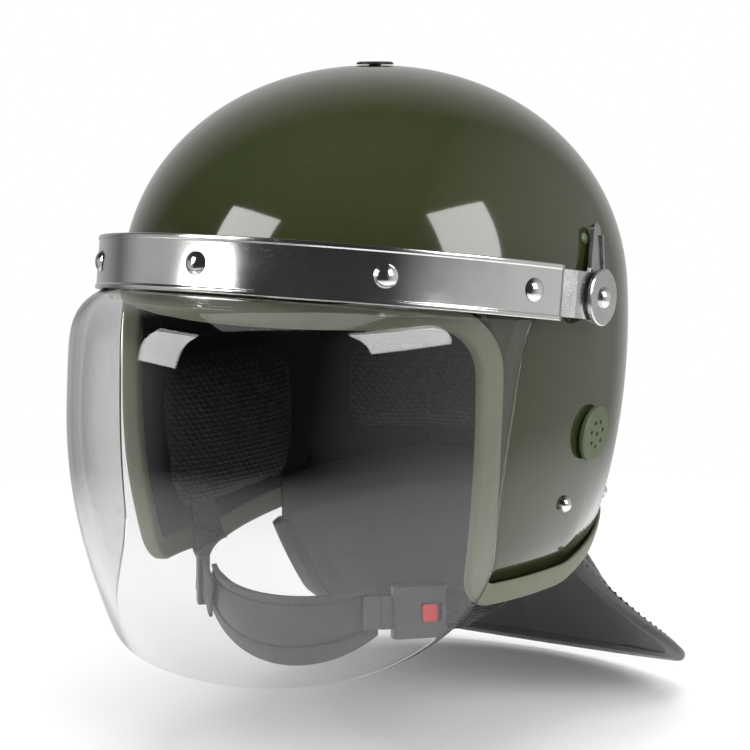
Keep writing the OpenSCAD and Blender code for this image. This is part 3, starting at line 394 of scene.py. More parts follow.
def finish(name, light, dark, rough, bump, depth, cell=900.0, mottle=12.0, cells=0.5, scratches=0.0,
           dusty=0.0, cloth=None, fuzz=0.2, **even):
    """A material from two close colours, a roughness range and a bump of grain or weave."""
    material, tree, shader = new_material(name)
    for key, value in even.items():
        shader.inputs[key.replace("_", " ")].default_value = value
    grained = use_group(tree, grain, {"Cell Size": cell, "Cell Depth": cells, "Mottle Size": mottle})
    height = grained["Height"]
    mask = spread(tree, grained["Mottle"], MOTTLE_LOW, MOTTLE_HIGH, 0.0, 1.0)
    colour = mix_colour(tree, mask, (*dark, 1), (*light, 1))
    roughness = spread(tree, grained["Mottle"], MOTTLE_LOW, MOTTLE_HIGH, *rough)
    if cloth:
        threads = use_group(tree, weave, {"Threads": cloth, "Fuzz": fuzz})
        height = threads["Height"]
        gaps = math_node(tree, "MULTIPLY", threads["Gaps"], GAP_SHARE)
        colour = mix_colour(tree, gaps, colour, (*[c * GAP_TONE for c in dark], 1))
    if scratches:
        hairs = use_group(tree, scratch, {"Share": scratches})["Mask"]
        roughness = math_node(tree, "ADD", roughness, math_node(tree, "MULTIPLY", hairs, SCRATCH_ROUGH))
    if dusty:
        settled = use_group(tree, dust, {"Amount": dusty})["Mask"]
        colour = mix_colour(tree, settled, colour, DUST_COLOUR)
        roughness = math_node(tree, "ADD", roughness, math_node(tree, "MULTIPLY", settled, DUST_ROUGH))
    bumps = add_node(tree, "ShaderNodeBump", {"Height": height, "Strength": bump, "Distance": depth})
    tree.links.new(colour, shader.inputs["Base Color"])
    tree.links.new(roughness, shader.inputs["Roughness"])
    tree.links.new(bumps.outputs["Normal"], shader.inputs["Normal"])
    return material


print("colours change where the mottle is", MOTTLE_LOW, "to", MOTTLE_HIGH)

# %% [markdown]
# The shell is a thick gloss plastic in olive green. Its clear, wet look comes from a low roughness
# under a coat; a very shallow, wide bump gives the slight orange peel of a moulding. Trim, vents,
# plug, gasket and buckle are duller mouldings, with a finer grain.

# %% Hard finishes
olive_gloss = finish("olive gloss shell", (0.031, 0.038, 0.0145), (0.025, 0.031, 0.0115), (0.06, 0.09), 0.05,
                     0.0002, cell=160.0, cells=0.0, mottle=7.0, scratches=0.15, dusty=0.015,
                     Coat_Weight=0.6, Coat_Roughness=0.03, IOR=1.5)
olive_rubber = finish("olive rubber trim", (0.150, 0.158, 0.104), (0.120, 0.128, 0.082), (0.40, 0.52), 0.25,
                      0.0002, cell=1100.0, mottle=30.0, dusty=0.15, IOR=1.48)
olive_matt = finish("olive plastic", (0.085, 0.112, 0.055), (0.068, 0.092, 0.044), (0.42, 0.52), 0.3,
                    0.00015, cell=1300.0, mottle=40.0, dusty=0.1)
plug_black = finish("dark plug", (0.020, 0.022, 0.016), (0.014, 0.016, 0.012), (0.3, 0.42), 0.2,
                    0.0001, cell=1500.0)
foam_black = finish("black foam", (0.012, 0.012, 0.013), (0.007, 0.007, 0.008), (0.75, 0.9), 0.8,
                    0.0006, cell=700.0, cells=1.0, Specular_IOR_Level=0.25)
gasket_black = finish("black gasket", (0.020, 0.020, 0.020), (0.012, 0.012, 0.012), (0.45, 0.6), 0.3, 0.0002)
buckle_grey = finish("grey moulding", (0.062, 0.063, 0.067), (0.044, 0.045, 0.048), (0.33, 0.45), 0.25,
                     0.00012, cell=1500.0, mottle=60.0, dusty=0.1)
tab_red = finish("red moulding", (0.62, 0.022, 0.030), (0.50, 0.016, 0.022), (0.28, 0.36), 0.1,
                 0.0001, cell=1500.0, Coat_Weight=0.2)
print("materials", len(bpy.data.materials))

# %% [markdown]
# The band, its brackets and the pivot discs are bright rolled steel. Rolling leaves lines along the
# strip, so the reflection is stretched a little; fine scratches and a wandering roughness keep it
# from looking like a mirror. Rivets and screws are plated and rounder in their gloss.

# %% Metal finishes
band_steel = finish("bright rolled steel", (0.80, 0.785, 0.77), (0.70, 0.69, 0.68), (0.10, 0.17), 0.06,
                    0.0001, cell=240.0, cells=0.0, mottle=22.0, scratches=0.5, Metallic=1.0, Anisotropic=0.35)
disc_steel = finish("turned steel", (0.74, 0.73, 0.72), (0.62, 0.61, 0.60), (0.18, 0.28), 0.08,
                    0.0001, cell=500.0, mottle=40.0, scratches=0.6, Metallic=1.0)
lever_steel = finish("lever steel", (0.55, 0.55, 0.56), (0.42, 0.42, 0.43), (0.2, 0.32), 0.1,
                     0.0001, cell=500.0, mottle=50.0, scratches=0.6, Metallic=1.0)
rivet_plate = finish("plated rivet", (0.86, 0.85, 0.84), (0.78, 0.77, 0.76), (0.09, 0.15), 0.05,
                     0.0001, cell=300.0, cells=0.0, mottle=60.0, scratches=0.3, Metallic=1.0)
zinc_plate = finish("zinc plate", (0.46, 0.46, 0.47), (0.34, 0.34, 0.35), (0.32, 0.45), 0.2,
                    0.0001, mottle=50.0, Metallic=1.0)
print("materials", len(bpy.data.materials))

# %% [markdown]
# The nape rivets go through the shell, and their tails are sprayed black with the shell's inside. One
# material does both ends: it darkens what lies inside an ellipse that follows the shell's wall there.

# %% Rivets with painted tails
INSIDE_WIDE, INSIDE_DEEP = 0.113, 0.126
nape_plate = rivet_plate.copy()
nape_plate.name = "plated rivet with painted tail"
tree, plated = tree_and_shader(nape_plate)
spot = add_node(tree, "ShaderNodeSeparateXYZ", {0: place_on(tree)}).outputs
squares = []
for axis, half_axis in (("X", INSIDE_WIDE), ("Y", INSIDE_DEEP)):
    share = math_node(tree, "ABSOLUTE", math_node(tree, "DIVIDE", spot[axis], half_axis))
    squares.append(math_node(tree, "POWER", share, 2))
bare = spread(tree, math_node(tree, "ADD", *squares), 1.0, 1.03, 0.0, 1.0)
bright = plated.inputs["Base Color"].links[0].from_socket
tree.links.new(mix_colour(tree, bare, (0.012, 0.012, 0.012, 1), bright), plated.inputs["Base Color"])
tree.links.new(bare, plated.inputs["Metallic"])
print(nape_plate.name, "has", len(tree.nodes), "nodes")

# %% [markdown]
# The neck cape is a coated leather cloth, dark grey and silky, with a fine pressed grain. Its seams
# get painted shade, the shadow their grooves hold, by an amount that the mesh carries as an
# attribute, and its inner side is a paler woven lining. The pads wear a black spacer mesh, the
# straps a dull webbing, and the chin cup a dark grey leather.

# %% Soft finishes
cape_skin = finish("black cape leather", (0.054, 0.055, 0.060), (0.038, 0.039, 0.043), (0.24, 0.33), 0.5,
                   0.00025, cells=1.2, mottle=16.0, Sheen_Weight=0.12, Sheen_Roughness=0.4,
                   Coat_Weight=0.12, Coat_Roughness=0.35)
tree, leather = tree_and_shader(cape_skin)
# Painted shade: the base colour darkens where the mesh's seam shade says a groove would hold shadow.
seam_shade = add_node(tree, "ShaderNodeAttribute", attribute_name="seam shade").outputs["Fac"]
painted_seam_shade_colour = mix_colour(tree, math_node(tree, "MULTIPLY", seam_shade, 0.5),
                         leather.inputs["Base Color"].links[0].from_socket, (0.012, 0.012, 0.013, 1))
tree.links.new(painted_seam_shade_colour, leather.inputs["Base Color"])
cape_edge = finish("cape binding", (0.038, 0.039, 0.043), (0.026, 0.027, 0.030), (0.36, 0.5), 0.5,
                   0.00025, cell=1000.0, cells=1.2, mottle=20.0, Sheen_Weight=0.1)
cape_back = finish("cape lining", (0.115, 0.116, 0.123), (0.080, 0.081, 0.086), (0.42, 0.55), 0.5,
                   0.0003, cloth=700.0)
mesh_black = finish("black mesh cloth", (0.030, 0.030, 0.033), (0.020, 0.020, 0.022), (0.5, 0.7), 1.0,
                    0.0012, cloth=120.0, fuzz=0.4, Sheen_Weight=0.05, Sheen_Roughness=0.5,
                    Specular_IOR_Level=0.25)
web_grey = finish("grey webbing", (0.044, 0.044, 0.046), (0.029, 0.029, 0.031), (0.6, 0.75), 1.0,
                  0.0007, cloth=230.0, fuzz=0.3, Sheen_Weight=0.15)
cup_leather = finish("grey chin leather", (0.052, 0.052, 0.055), (0.034, 0.034, 0.036), (0.38, 0.52), 0.6,
                     0.0003, cell=800.0, cells=1.2, mottle=25.0, Sheen_Weight=0.08)
thread_black = finish("black thread", (0.012, 0.012, 0.013), (0.008, 0.008, 0.009), (0.4, 0.5), 0.3,
                      0.0001, cell=1800.0)
print("materials", len(bpy.data.materials))

# %% [markdown]
# The visor is clear polycarbonate, a true glass-like solid: light bends on its way in and out, and
# its edges gather it. Its shadow has to stay light, so shadow rays pass through a plain transparent
# shader instead of the refracting one. The cut edge has a copy of the finish with painted shade: a
# darker tint that stands in for the dark line of a thick clear edge.

# %% Visor finish
visor_clear, tree, clear = new_material("clear polycarbonate")
clear.inputs["Transmission Weight"].default_value = 1.0
clear.inputs["IOR"].default_value = 1.5
smears = use_group(tree, grain, {"Cell Size": 200.0, "Mottle Size": 14.0})["Mottle"]
hairs = use_group(tree, scratch, {"Size": 45.0, "Share": 0.6})["Mask"]
tint = mix_colour(tree, smears, (0.80, 0.80, 0.80, 1), (0.775, 0.775, 0.775, 1))
tree.links.new(tint, clear.inputs["Base Color"])
tree.links.new(spread(tree, hairs, 0.0, 1.0, 0.0, 0.06), clear.inputs["Roughness"])
is_shadow = add_node(tree, "ShaderNodeLightPath").outputs["Is Shadow Ray"]
see_through = add_node(tree, "ShaderNodeBsdfTransparent", {"Color": (0.88, 0.88, 0.88, 1)}).outputs[0]
tree.links.new(mix_shader(tree, is_shadow, clear.outputs[0], see_through),
               tree.nodes["Material Output"].inputs["Surface"])
# The cut edge's copy is tinted darker: painted shade that draws the visor's outline.
visor_edge_with_painted_shade = visor_clear.copy()
visor_edge_with_painted_shade.name = "visor edge with painted shade"
painted_edge_shade = tree_and_shader(visor_edge_with_painted_shade)[1].inputs["Base Color"].links[0].from_node
painted_edge_shade.inputs["A"].default_value = (0.30, 0.285, 0.27, 1)
painted_edge_shade.inputs["B"].default_value = (0.24, 0.23, 0.22, 1)
print("materials", len(bpy.data.materials))

# %% [markdown]
# ## The shell
# The shell is an injection moulding: a smooth dome, ear flaps, a square face opening, and a dish
# pressed in above the nape. It is built as two skins, 4 mm apart, that climb from the rim to the
# crown in rings. Rings of points follow the rim's own path, so the edge stays crisp however it runs.

# %% Two skins
def capped_mesh(rings, top, bottom):
    """Rings of points with one middle point above the first ring and one at the last."""
    n = len(rings[0])
    last = (len(rings) - 1) * n
    points = [p for r in rings for p in r] + [np.array([0, 0, top]), np.array([0, 0, bottom])]
    faces = grid_faces(len(rings), n, True)
    faces += [(last + n, (j + 1) % n, j) for j in range(n)]
    faces += [(last + n + 1, last + j, last + (j + 1) % n) for j in range(n)]
    return points, faces


def climbing_ring(path, g, o):
    """Part g of the way from the path to the crown, at offset o, with its mirror image."""
    half = []
    for j, p in enumerate(path):
        target = np.array([180 * GIRTH * j / (len(path) - 1), CROWN + o])
        half.append(wrap(p + (target - p) * g, o))
    return half + [other_side(p) for p in half[-2:0:-1]]


def bowl_mesh(path, lip, rows, outside, inside):
    """Two skins from the path to the crown, joined at the rim."""
    start = [p + n * lip for p, n in zip(path, path_normals(path))]
    steps = [1 - (1 - k / rows) ** 1.6 for k in range(rows)]
    skins = []
    for o in (outside, inside):
        skins.append([climbing_ring(path, 0, o)] + [climbing_ring(start, g, o) for g in steps])
    return capped_mesh(skins[0][::-1] + skins[1], CROWN + outside, CROWN + inside)


shell_bowl = bowl_mesh(rim, TRIM_WIDTH + 1, 56, 0, -WALL)
print("shell points", len(shell_bowl[0]))

# %% [markdown]
# Gloss shows every break in a surface. Where two curves of the skin meet, the normals are evened
# out over a few rounds, which smooths the reflection and leaves the shape alone. The inside is
# black: a second material on the faces that look towards the middle of the helmet.

# %% Shell mesh
def paint(piece, material, faces):
    """Gives some faces of a piece a second material."""
    piece.data.materials.append(material)
    for face in faces:
        face.material_index = 1


def soft_normals(piece, rounds):
    """Evens out the normals, so that a gloss finish shows no break where two curves meet."""
    mesh = piece.data
    normals = np.empty(len(mesh.vertices) * 3)
    mesh.vertices.foreach_get("normal", normals)
    normals = normals.reshape(-1, 3)
    ends = np.empty(len(mesh.edges) * 2, dtype=int)
    mesh.edges.foreach_get("vertices", ends)
    ends = ends.reshape(-1, 2)
    for _ in range(rounds):
        total = normals.copy()
        np.add.at(total, ends[:, 0], normals[ends[:, 1]])
        np.add.at(total, ends[:, 1], normals[ends[:, 0]])
        normals = total / np.linalg.norm(total, axis=1, keepdims=True)
    mesh.normals_split_custom_set_from_vertices([tuple(v) for v in normals])


shell = add_piece("shell_skin", shell_bowl, "helmet", olive_gloss, ["outer_shell"])
soft_normals(shell, 12)
middle = Vector((0, 0, -0.02))
paint(shell, foam_black, [f for f in shell.data.polygons if f.normal.dot(f.center - middle) < 0])
print("shell faces", len(shell.data.polygons))

# %% [markdown]
# ## Edge trim
# A rubber extrusion is pushed over the whole rim. It is a U in section with thick rounded lips, so
# the section is drawn once with round corners and swept along the rim.

# %% Trim mesh
def swept_mesh(sections, closed=False):
    """A bar swept through sections of points, closed to a loop or with flat ends."""
    n = len(sections[0])
    last = (len(sections) - 1) * n
    points = [p for s in sections for p in s]
    faces = grid_faces(len(sections), n, True)
    if closed:
        faces += [(last + j, last + (j + 1) % n, (j + 1) % n, j) for j in range(n)]
    else:
        faces += [tuple(range(n)), tuple(range(last, last + n))]
    return points, faces


def rounded_outline(corners, n=4):
    """A closed outline through corners (x, y, radius), each one rounded."""
    flat = [np.array(c[:2], float) for c in corners]
    points = []
    for i, corner in enumerate(corners):
        if corner[2] > 0:
            points += corner_points(flat[i - 1], flat[i], flat[(i + 1) % len(flat)], corner[2], n)
        else:
            points.append(flat[i])
    return points


outer_lip, inner_lip = TRIM_GAP + TRIM_WALL, -WALL - TRIM_GAP - TRIM_WALL
trim_outline = rounded_outline([
    (TRIM_WIDTH, TRIM_GAP, 0.2), (TRIM_WIDTH, TRIM_GAP + TRIM_WALL * 0.75, 0.6),
    (TRIM_WIDTH * 0.55, outer_lip, 1.5), (-TRIM_WALL, outer_lip, 2.6), (-TRIM_WALL, inner_lip, 2.6),
    (TRIM_WIDTH, inner_lip, 1.0), (TRIM_WIDTH, -WALL - TRIM_GAP, 0.2), (-TRIM_GAP, -WALL - TRIM_GAP, 0),
    (-TRIM_GAP, TRIM_GAP, 0)])
half = [[wrap(p + x * n, o) for x, o in trim_outline] for p, n in zip(rim, path_normals(rim))]
sections = half + [[other_side(p) for p in s] for s in half[-2:0:-1]]
trim = add_piece("rubber_edge_trim", swept_mesh(sections, True), "helmet", olive_rubber,
                 ["edge_trim"])
print("trim faces", len(trim.data.polygons))

# %% [markdown]
# ## Sheets
# Strip, visor, pads, cape and cup are sheets with two faces, so one helper closes a sheet between
# any two. A second one rounds sharp edges with a bevel, as no real edge is quite sharp.

# %% Sheet helpers
def sheet_mesh(across, down, point, sides=(0, 1)):
    """A closed sheet with two faces, each made by point(u, v, side), and walls round its edge."""
    rows, cols = len(down), len(across)
    shift, last = rows * cols, (rows - 1) * cols
    points = [point(u, v, side) for side in sides for v in down for u in across]
    faces = grid_faces(rows, cols, False)
    faces += [tuple(k + shift for k in reversed(f)) for f in faces]
    edge = [*range(cols - 1), *range(cols - 1, last + cols - 1, cols)]
    edge += [*range(last + cols - 1, last, -1), *range(last, 0, -cols)]
    faces += [(b, a, a + shift, b + shift) for a, b in zip(edge, edge[1:] + edge[:1])]
    return points, faces


def bevelled(piece, width, segments=3, angle=40):
    """Rounds the sharp edges of a piece, which is what catches the light on a real one."""
    bevel = piece.modifiers.new("rounded edges", "BEVEL")
    bevel.width = width * MM
    bevel.segments = segments
    bevel.limit_method = "ANGLE"
    bevel.angle_limit = math.radians(angle)


print("a sheet of 3 by 3 points has", len(sheet_mesh([0, 1, 2], [0, 1, 2], lambda *p: p)[1]), "faces")

# %% [markdown]
# ## Nape strip
# Over the nape the shell carries a second, tapering skin whose upper edge is an arc. It is gloss
# like the shell, and its rounded upper edge draws the bright line that shows from behind.

# %% Nape strip mesh
STRIP_SEAT, STRIP_END, STRIP_THICK, STRIP_THIN = 0.6, 17.0, 3, 1.4


def strip_low(b):
    """Height of the strip's lower edge at angle b from the nape."""
    return rim_height(180 - abs(b)) + TRIM_WIDTH + TRIM_GAP


def strip_top(b):
    """Height of its arched upper edge."""
    middle, end = strip_low(0) + STRIP_HEIGHT, strip_low(STRIP_ANGLE) + STRIP_END
    return middle + (end - middle) * (b / STRIP_ANGLE) ** 2


def strip_point(b, v, side):
    """The strip's inner or outer face, at angle b from the nape and share v of its height."""
    thick = STRIP_THICK + (STRIP_THIN - STRIP_THICK) * v
    return skin(180 + b, strip_low(b) + (strip_top(b) - strip_low(b)) * v, STRIP_SEAT + side * thick)


strip_mesh = sheet_mesh(np.linspace(-STRIP_ANGLE, STRIP_ANGLE, 81), shares(16), strip_point)
strip = add_piece("nape_strip_skin", strip_mesh, "helmet", olive_gloss, ["nape_strip"])
bevelled(strip, 0.6)
print("strip faces", len(strip.data.polygons))

# %% [markdown]
# ## Front band
# The band is a strip of bright steel bent round the brow, with both long edges rolled. Its section
# is swept along an ellipse and tilted about the pivots, as the construction model does.

# %% Front band mesh
PIVOT_Y, BAND_TILT = -9.0, 8.0
BAND_WIDE, BAND_FRONT, BAND_HEIGHT, BAND_WALL, BAND_END = 132.0, 149.0, 26.0, 1.2, 75.0


def tilted(p):
    """Leans a point of the visor unit about the pivots."""
    y, z = p[1] - PIVOT_Y, p[2]
    c, s = cos(-BAND_TILT), sin(-BAND_TILT)
    return np.array([p[0], y * c - z * s + PIVOT_Y, y * s + z * c])


def band_point(a, o, z):
    """The band at angle a from the front, offset o and height z."""
    return tilted(np.array([(BAND_WIDE + o) * sin(a), -(BAND_FRONT + o) * cos(a), z]))


def even_outline(corners, n=4):
    """An outline through corners (x, y, radius) and their mirror images."""
    return rounded_outline(corners + [(-x, y, r) for x, y, r in reversed(corners)], n)


low = -BAND_HEIGHT / 2
band_outline = even_outline([(low, -BAND_WALL, 0.3), (low, 0.5, 0.7), (low + 1.9, 0.5, 0.8),
                             (low + 2.6, 0.0, 0.8)])
band_stops = np.linspace(-BAND_END, BAND_END, 181)
band_sections = [[band_point(a, o, z) for z, o in band_outline] for a in band_stops]
band = add_piece("steel_front_band", swept_mesh(band_sections), "visor_unit", band_steel,
                 ["front_band"])
print("band faces", len(band.data.polygons))

# %% [markdown]
# ## Visor
# The visor is thermoformed sheet: flat behind the band, a rounded shoulder just under it, then a
# long curve that tucks in towards the chin, with a round lower edge. It is a grid between two
# faces 2.8 mm apart. A narrow bevel rounds the cut edge, whose painted shade, a darker tint, draws the
# outline.

# %% Visor mesh
VISOR_WALL, VISOR_BULGE, VISOR_TUCK, VISOR_DROP, VISOR_CORNER = 2.8, 33.0, 65.0, 192.0, 70.0
VISOR_SHOULDER, VISOR_PEAK, VISOR_SEAT, VISOR_TAPER, VISOR_ANGLE = -13.0, -68.0, -3.05, 0.1, 70.0
VISOR_TURN = VISOR_CORNER - VISOR_DROP


def visor_shape(z):
    """The share of the bulge that the visor has at height z."""
    t = max(0, (VISOR_SHOULDER - z) / (VISOR_SHOULDER - VISOR_PEAK))
    return 1 - (1 - min(1, t)) ** 6


def visor_limit(z):
    """The angle at which the visor ends at height z."""
    under = min(1, max(0, (VISOR_TURN - z) / VISOR_CORNER))
    return (VISOR_ANGLE + visor_shape(z)) * math.sqrt(1 - under * under)


def visor_point(t, z, o):
    """The sheet at share t of its half width, height z and offset o."""
    a = visor_limit(z) * t
    fall = max(0, (VISOR_PEAK - z) / (VISOR_DROP + VISOR_PEAK)) ** 2
    wide = BAND_WIDE + VISOR_SEAT + o - VISOR_TAPER * max(0, VISOR_SHOULDER - z)
    reach = BAND_FRONT + VISOR_SEAT + o + VISOR_BULGE * visor_shape(z) - VISOR_TUCK * fall
    return tilted(np.array([wide * sin(a), -reach * cos(a), z]))


visor_across = np.linspace(-1, 1, 97)
visor_rows = [10, 5, 0, -6, -10]
visor_rows += [VISOR_SHOULDER + (VISOR_PEAK - VISOR_SHOULDER) * t ** 1.6 for t in shares(26)]
visor_rows += [VISOR_PEAK + (VISOR_TURN - VISOR_PEAK) * k / 14 for k in range(1, 15)]
visor_rows += [VISOR_TURN - VISOR_CORNER * sin(88 * k / 34) for k in range(1, 35)]
visor_sheet = sheet_mesh(visor_across, visor_rows, visor_point, (0, -VISOR_WALL))
visor = add_piece("clear_visor", visor_sheet, "visor_unit", visor_clear, ["visor"])
edge_start = 2 * (len(visor_rows) - 1) * (len(visor_across) - 1)
# The faces of the cut edge get the darker tint of painted shade.
paint(visor, visor_edge_with_painted_shade, visor.data.polygons[edge_start:])
bevelled(visor, 0.8, 3, 50)
print("visor faces", len(visor.data.polygons))

# %% [markdown]
# ## Liner and pads
# Inside sits a foam liner in one piece, and on it pads of foam covered in black spacer mesh. The
# liner is a bowl between two offsets of the skin. A pad is a crowned form: thick in the middle,
# drawn in along its edges, with shallow channels where it is sewn through.

# %% Liner mesh
LINER_OUT = -WALL - 1.8
LINER_IN = LINER_OUT - 20
PAD_OUT = LINER_IN - 1
liner_rim = rounded_path([(0, 1.5, 0), (70, 1.5, 30), (100, -30, 40), (180, -42, 0)], 9, 6)
liner_bowl = bowl_mesh(liner_rim, 8, 22, LINER_OUT, LINER_IN)
liner = add_piece("foam_liner", liner_bowl, "helmet", foam_black, ["impact_liner"])
print("liner faces", len(liner.data.polygons))

# %% [markdown]
# Brow and nape pads are bands of foam that follow the skin. Their cover is sewn through at regular
# stops, so the thickness falls off towards the edges and dips at each seam.

# %% Pads at the brow and the nape
def crowned(t, edge, power):
    """How far a pad has risen at share t across it."""
    return edge + (1 - edge) * (1 - abs(2 * t - 1) ** power)


def curved_pad(name, node, angles, heights, offset, thickness, puffs):
    """A sewn pad on the inside of the skin, between two angles and two heights."""
    (a0, a1), (z0, z1) = angles, heights

    def pad_point(u, v, side):
        """The pad's face on the liner, or the one towards the head."""
        narrow = 1 - 0.1 * abs(2 * v - 1) ** 6
        a = (a0 + a1) / 2 + (a1 - a0) * (u - 0.5) * narrow
        rise = side * thickness * crowned(u, 0.2, 8) * crowned(v, 0.2, 3)
        seam = 0.26 * abs(cos(180 * puffs * u)) ** 14 + 0.12 * abs(cos(180 * v)) ** 20
        return skin(a, z0 + (z1 - z0) * v, offset - rise * (1 - min(0.3, seam)))

    pad = add_piece(name, sheet_mesh(shares(96), shares(32), pad_point), "helmet", mesh_black,
                    [node])
    print(name, "faces", len(pad.data.polygons))


curved_pad("brow_pad_cover", "brow_pad", (-46, 46), (5, 35), PAD_OUT, 10, 4)
curved_pad("nape_pad_cover", "nape_pad", (136, 224), (-91, -48), -WALL - 1.3, 20, 4)

# %% [markdown]
# The crown pad is a shallow dome with six sewn channels that meet at the top. It is built from
# rings round the crown, and the seams thin it from below.

# %% Crown pad
SPOKES, DOME_THICK, DOME_LOW = 96, 10, 52
crown_top = CROWN + PAD_OUT


def dome_ring(g, t):
    """A ring at share g of the pad's height, t below its upper face and drawn in at six seams."""
    z = crown_top - t - (crown_top - t - DOME_LOW) * g * g
    ring = []
    for k in range(SPOKES):
        a = 360 / SPOKES * k
        drawn_in = 0.3 * abs(cos(3 * a)) ** 18 * min(1, 3 * g)
        ring.append(skin(a, z, PAD_OUT - t) + np.array([0, 0, drawn_in * t * 0.8]))
    return ring


grades = shares(20)[1:]
rings = [dome_ring(g, 0) for g in grades]
rings += [dome_ring(g, DOME_THICK * (1 - 0.7 * g ** 4)) for g in reversed(grades)]
crown_pad = add_piece("crown_pad_cover", capped_mesh(rings, crown_top, crown_top - DOME_THICK), "helmet",
                      mesh_black, ["crown_pad"])
print("crown pad faces", len(crown_pad.data.polygons))

# %% [markdown]
# ## Cheek pads
# The cheek pads are the largest cushions, and they show through the visor. Each starts as a slightly
# thin crowned form, is remeshed evenly and then blown up by a short cloth simulation, which gives
# the taut middle and drawn-in edges of a stuffed cover. The other pad is its mirror image.

# %% Cheek pad mesh
CHEEK_FRONT, CHEEK_BACK, CHEEK_TOP, CHEEK_LOW = 63.0, 118.0, -38.0, -122.0
CHEEK_GAP, CHEEK_OUT, CHEEK_THIN = 78.0, -WALL - 10, 2.0
CHEEK_VOXEL, CHEEK_SWELL, CHEEK_PRESSURE, CHEEK_FRAMES = 0.004, 0.004, 4.0, 20


def cheek_point(u, v, side):
    """The pad's face towards the shell, or the one towards the cheek."""
    narrow = 1 - 0.16 * abs(2 * v - 1) ** 5
    a = (CHEEK_FRONT + CHEEK_BACK) / 2 + (CHEEK_BACK - CHEEK_FRONT) * (u - 0.5) * narrow
    x, y, z = skin(a, CHEEK_LOW + (CHEEK_TOP - CHEEK_LOW) * v, CHEEK_OUT - CHEEK_THIN)
    rise = side * crowned(u, 0.15, 3) * crowned(v, 0.15, 3)
    return np.array([x + (CHEEK_GAP + CHEEK_THIN - x) * rise, y, z])


def blown_up(piece, voxel, cap):
    """Remeshes a piece and swells it as cloth, with no point moving further than the cap."""
    bpy.context.view_layer.objects.active = piece
    remesh = piece.modifiers.new("even mesh", "REMESH")
    remesh.mode = "VOXEL"
    remesh.voxel_size = voxel
    bpy.ops.object.modifier_apply(modifier=remesh.name)
    start = np.array([v.co[:] for v in piece.data.vertices])
    cloth = piece.modifiers.new("swelling", "CLOTH")
    cloth.settings.use_pressure = True
    cloth.settings.uniform_pressure_force = CHEEK_PRESSURE
    cloth.settings.effector_weights.gravity = 0
    for f in range(CHEEK_FRAMES):
        bpy.context.scene.frame_set(f + 1)
    shown = piece.evaluated_get(bpy.context.evaluated_depsgraph_get())
    swollen = np.array([v.co[:] for v in shown.data.vertices])
    piece.modifiers.remove(cloth)
    bpy.context.scene.frame_set(1)
    move = swollen - start
    length = np.linalg.norm(move, axis=1, keepdims=True)
    move = move * np.minimum(1, cap / np.maximum(length, 1e-9))
    for v, p in zip(piece.data.vertices, start + move):
        v.co = p
    for face in piece.data.polygons:
        face.use_smooth = True


cheek_stops = [0.03 + 0.94 * k / 32 for k in range(33)]
cheek = add_piece("left_cheek_cover", sheet_mesh(cheek_stops, cheek_stops, cheek_point), "helmet", mesh_black,
                  ["left_cheek_pad"])
blown_up(cheek, CHEEK_VOXEL, CHEEK_SWELL)
mirror_image = cheek.data.copy()
for v in mirror_image.vertices:
    v.co.x = -v.co.x
mirror_image.flip_normals()
twin = place_mesh("right_cheek_cover", mirror_image, "helmet", ["right_cheek_pad"])
for pad in (cheek, twin):
    smooth = pad.modifiers.new("one subdivision", "SUBSURF")
    smooth.levels = smooth.render_levels = 1
print("cheek pad points", len(cheek.data.vertices))

# %% [markdown]
# ## Neck cape
# The cape is a quilted sheet of coated leather cloth that hangs from inside the rim and flares out
# over the shoulders. Its stitched seams run down from the rim like rays, with one seam across, and
# the padding swells between them. The sheet follows the construction model's curves, with finer
# swelling, small puckers along the seams and a few soft wrinkles.

# %% Cape surface
CAPE_ANGLE, CAPE_DEPTH, CAPE_REACH, CAPE_WIDE, CAPE_BOW, CAPE_THICK = 68.0, 223.0, 177.0, 125.0, 47.0, 3.0
CAPE_GAP, CAPE_TUCK = 2.0, 14
CAPE_MIDDLE = -WALL - TRIM_GAP - TRIM_WALL - CAPE_GAP - CAPE_THICK / 2
CAPE_ARC = (CAPE_WIDE ** 2 + CAPE_BOW ** 2) / (2 * CAPE_BOW)
CAPE_SEAMS = [-1, -0.8, -0.54, 0, 0.54, 0.8, 1]
CROSS_SEAM, CORNER_FROM, CORNER_CUT = 0.42, 0.7, 0.2
SHARE_ACROSS, SHARE_DOWN = 110, 105
PUCKER, PUCKER_TURN = 0.22, 66


def cape_point(s, v):
    """The middle of the sheet at share s across and v down; v below 0 is the part inside the rim."""
    low = rim_height(180 - abs(CAPE_ANGLE * s))
    lip = skin(180 + CAPE_ANGLE * s, low - TRIM_WALL - 4, CAPE_MIDDLE)
    if v < 0:
        top = skin(180 + CAPE_ANGLE * s, low + CAPE_TUCK, CAPE_MIDDLE)
        return lip + (top - lip) * -v
    a = math.degrees(math.asin(CAPE_WIDE / CAPE_ARC)) * s
    end = np.array([-CAPE_ARC * sin(a), CAPE_REACH - CAPE_ARC + CAPE_ARC * cos(a), -CAPE_DEPTH + 16 * s * s])
    knee = lip + (end - lip) * 0.35 + np.array([0, 0, -9.0])
    return lip * (1 - v) ** 2 + knee * 2 * v * (1 - v) + end * v * v


def cape_normal(s, v):
    """The direction out of the cape's outer side."""
    d = 0.01
    along = cape_point(s + d, v) - cape_point(s - d, v)
    down = cape_point(s, v + d) - cape_point(s, v - d)
    return unit(np.cross(down, along))


def outline(v):
    """The share across at which the cape ends, v down from the rim."""
    t = max(0, v - CORNER_FROM) / (1 - CORNER_FROM)
    return 1 - CORNER_CUT * (1 - math.sqrt(max(0, 1 - t * t)))


print("middle of the cape's lower edge", [round(float(c)) for c in cape_point(0, 1)])

# %% [markdown]
# Padding pushes the cloth out between its seams, and the thread pulls it in. The swell is a smooth
# function of the distance to the nearest seam, with noise for the creases, because a simulation
# would not keep the seams on their lines.

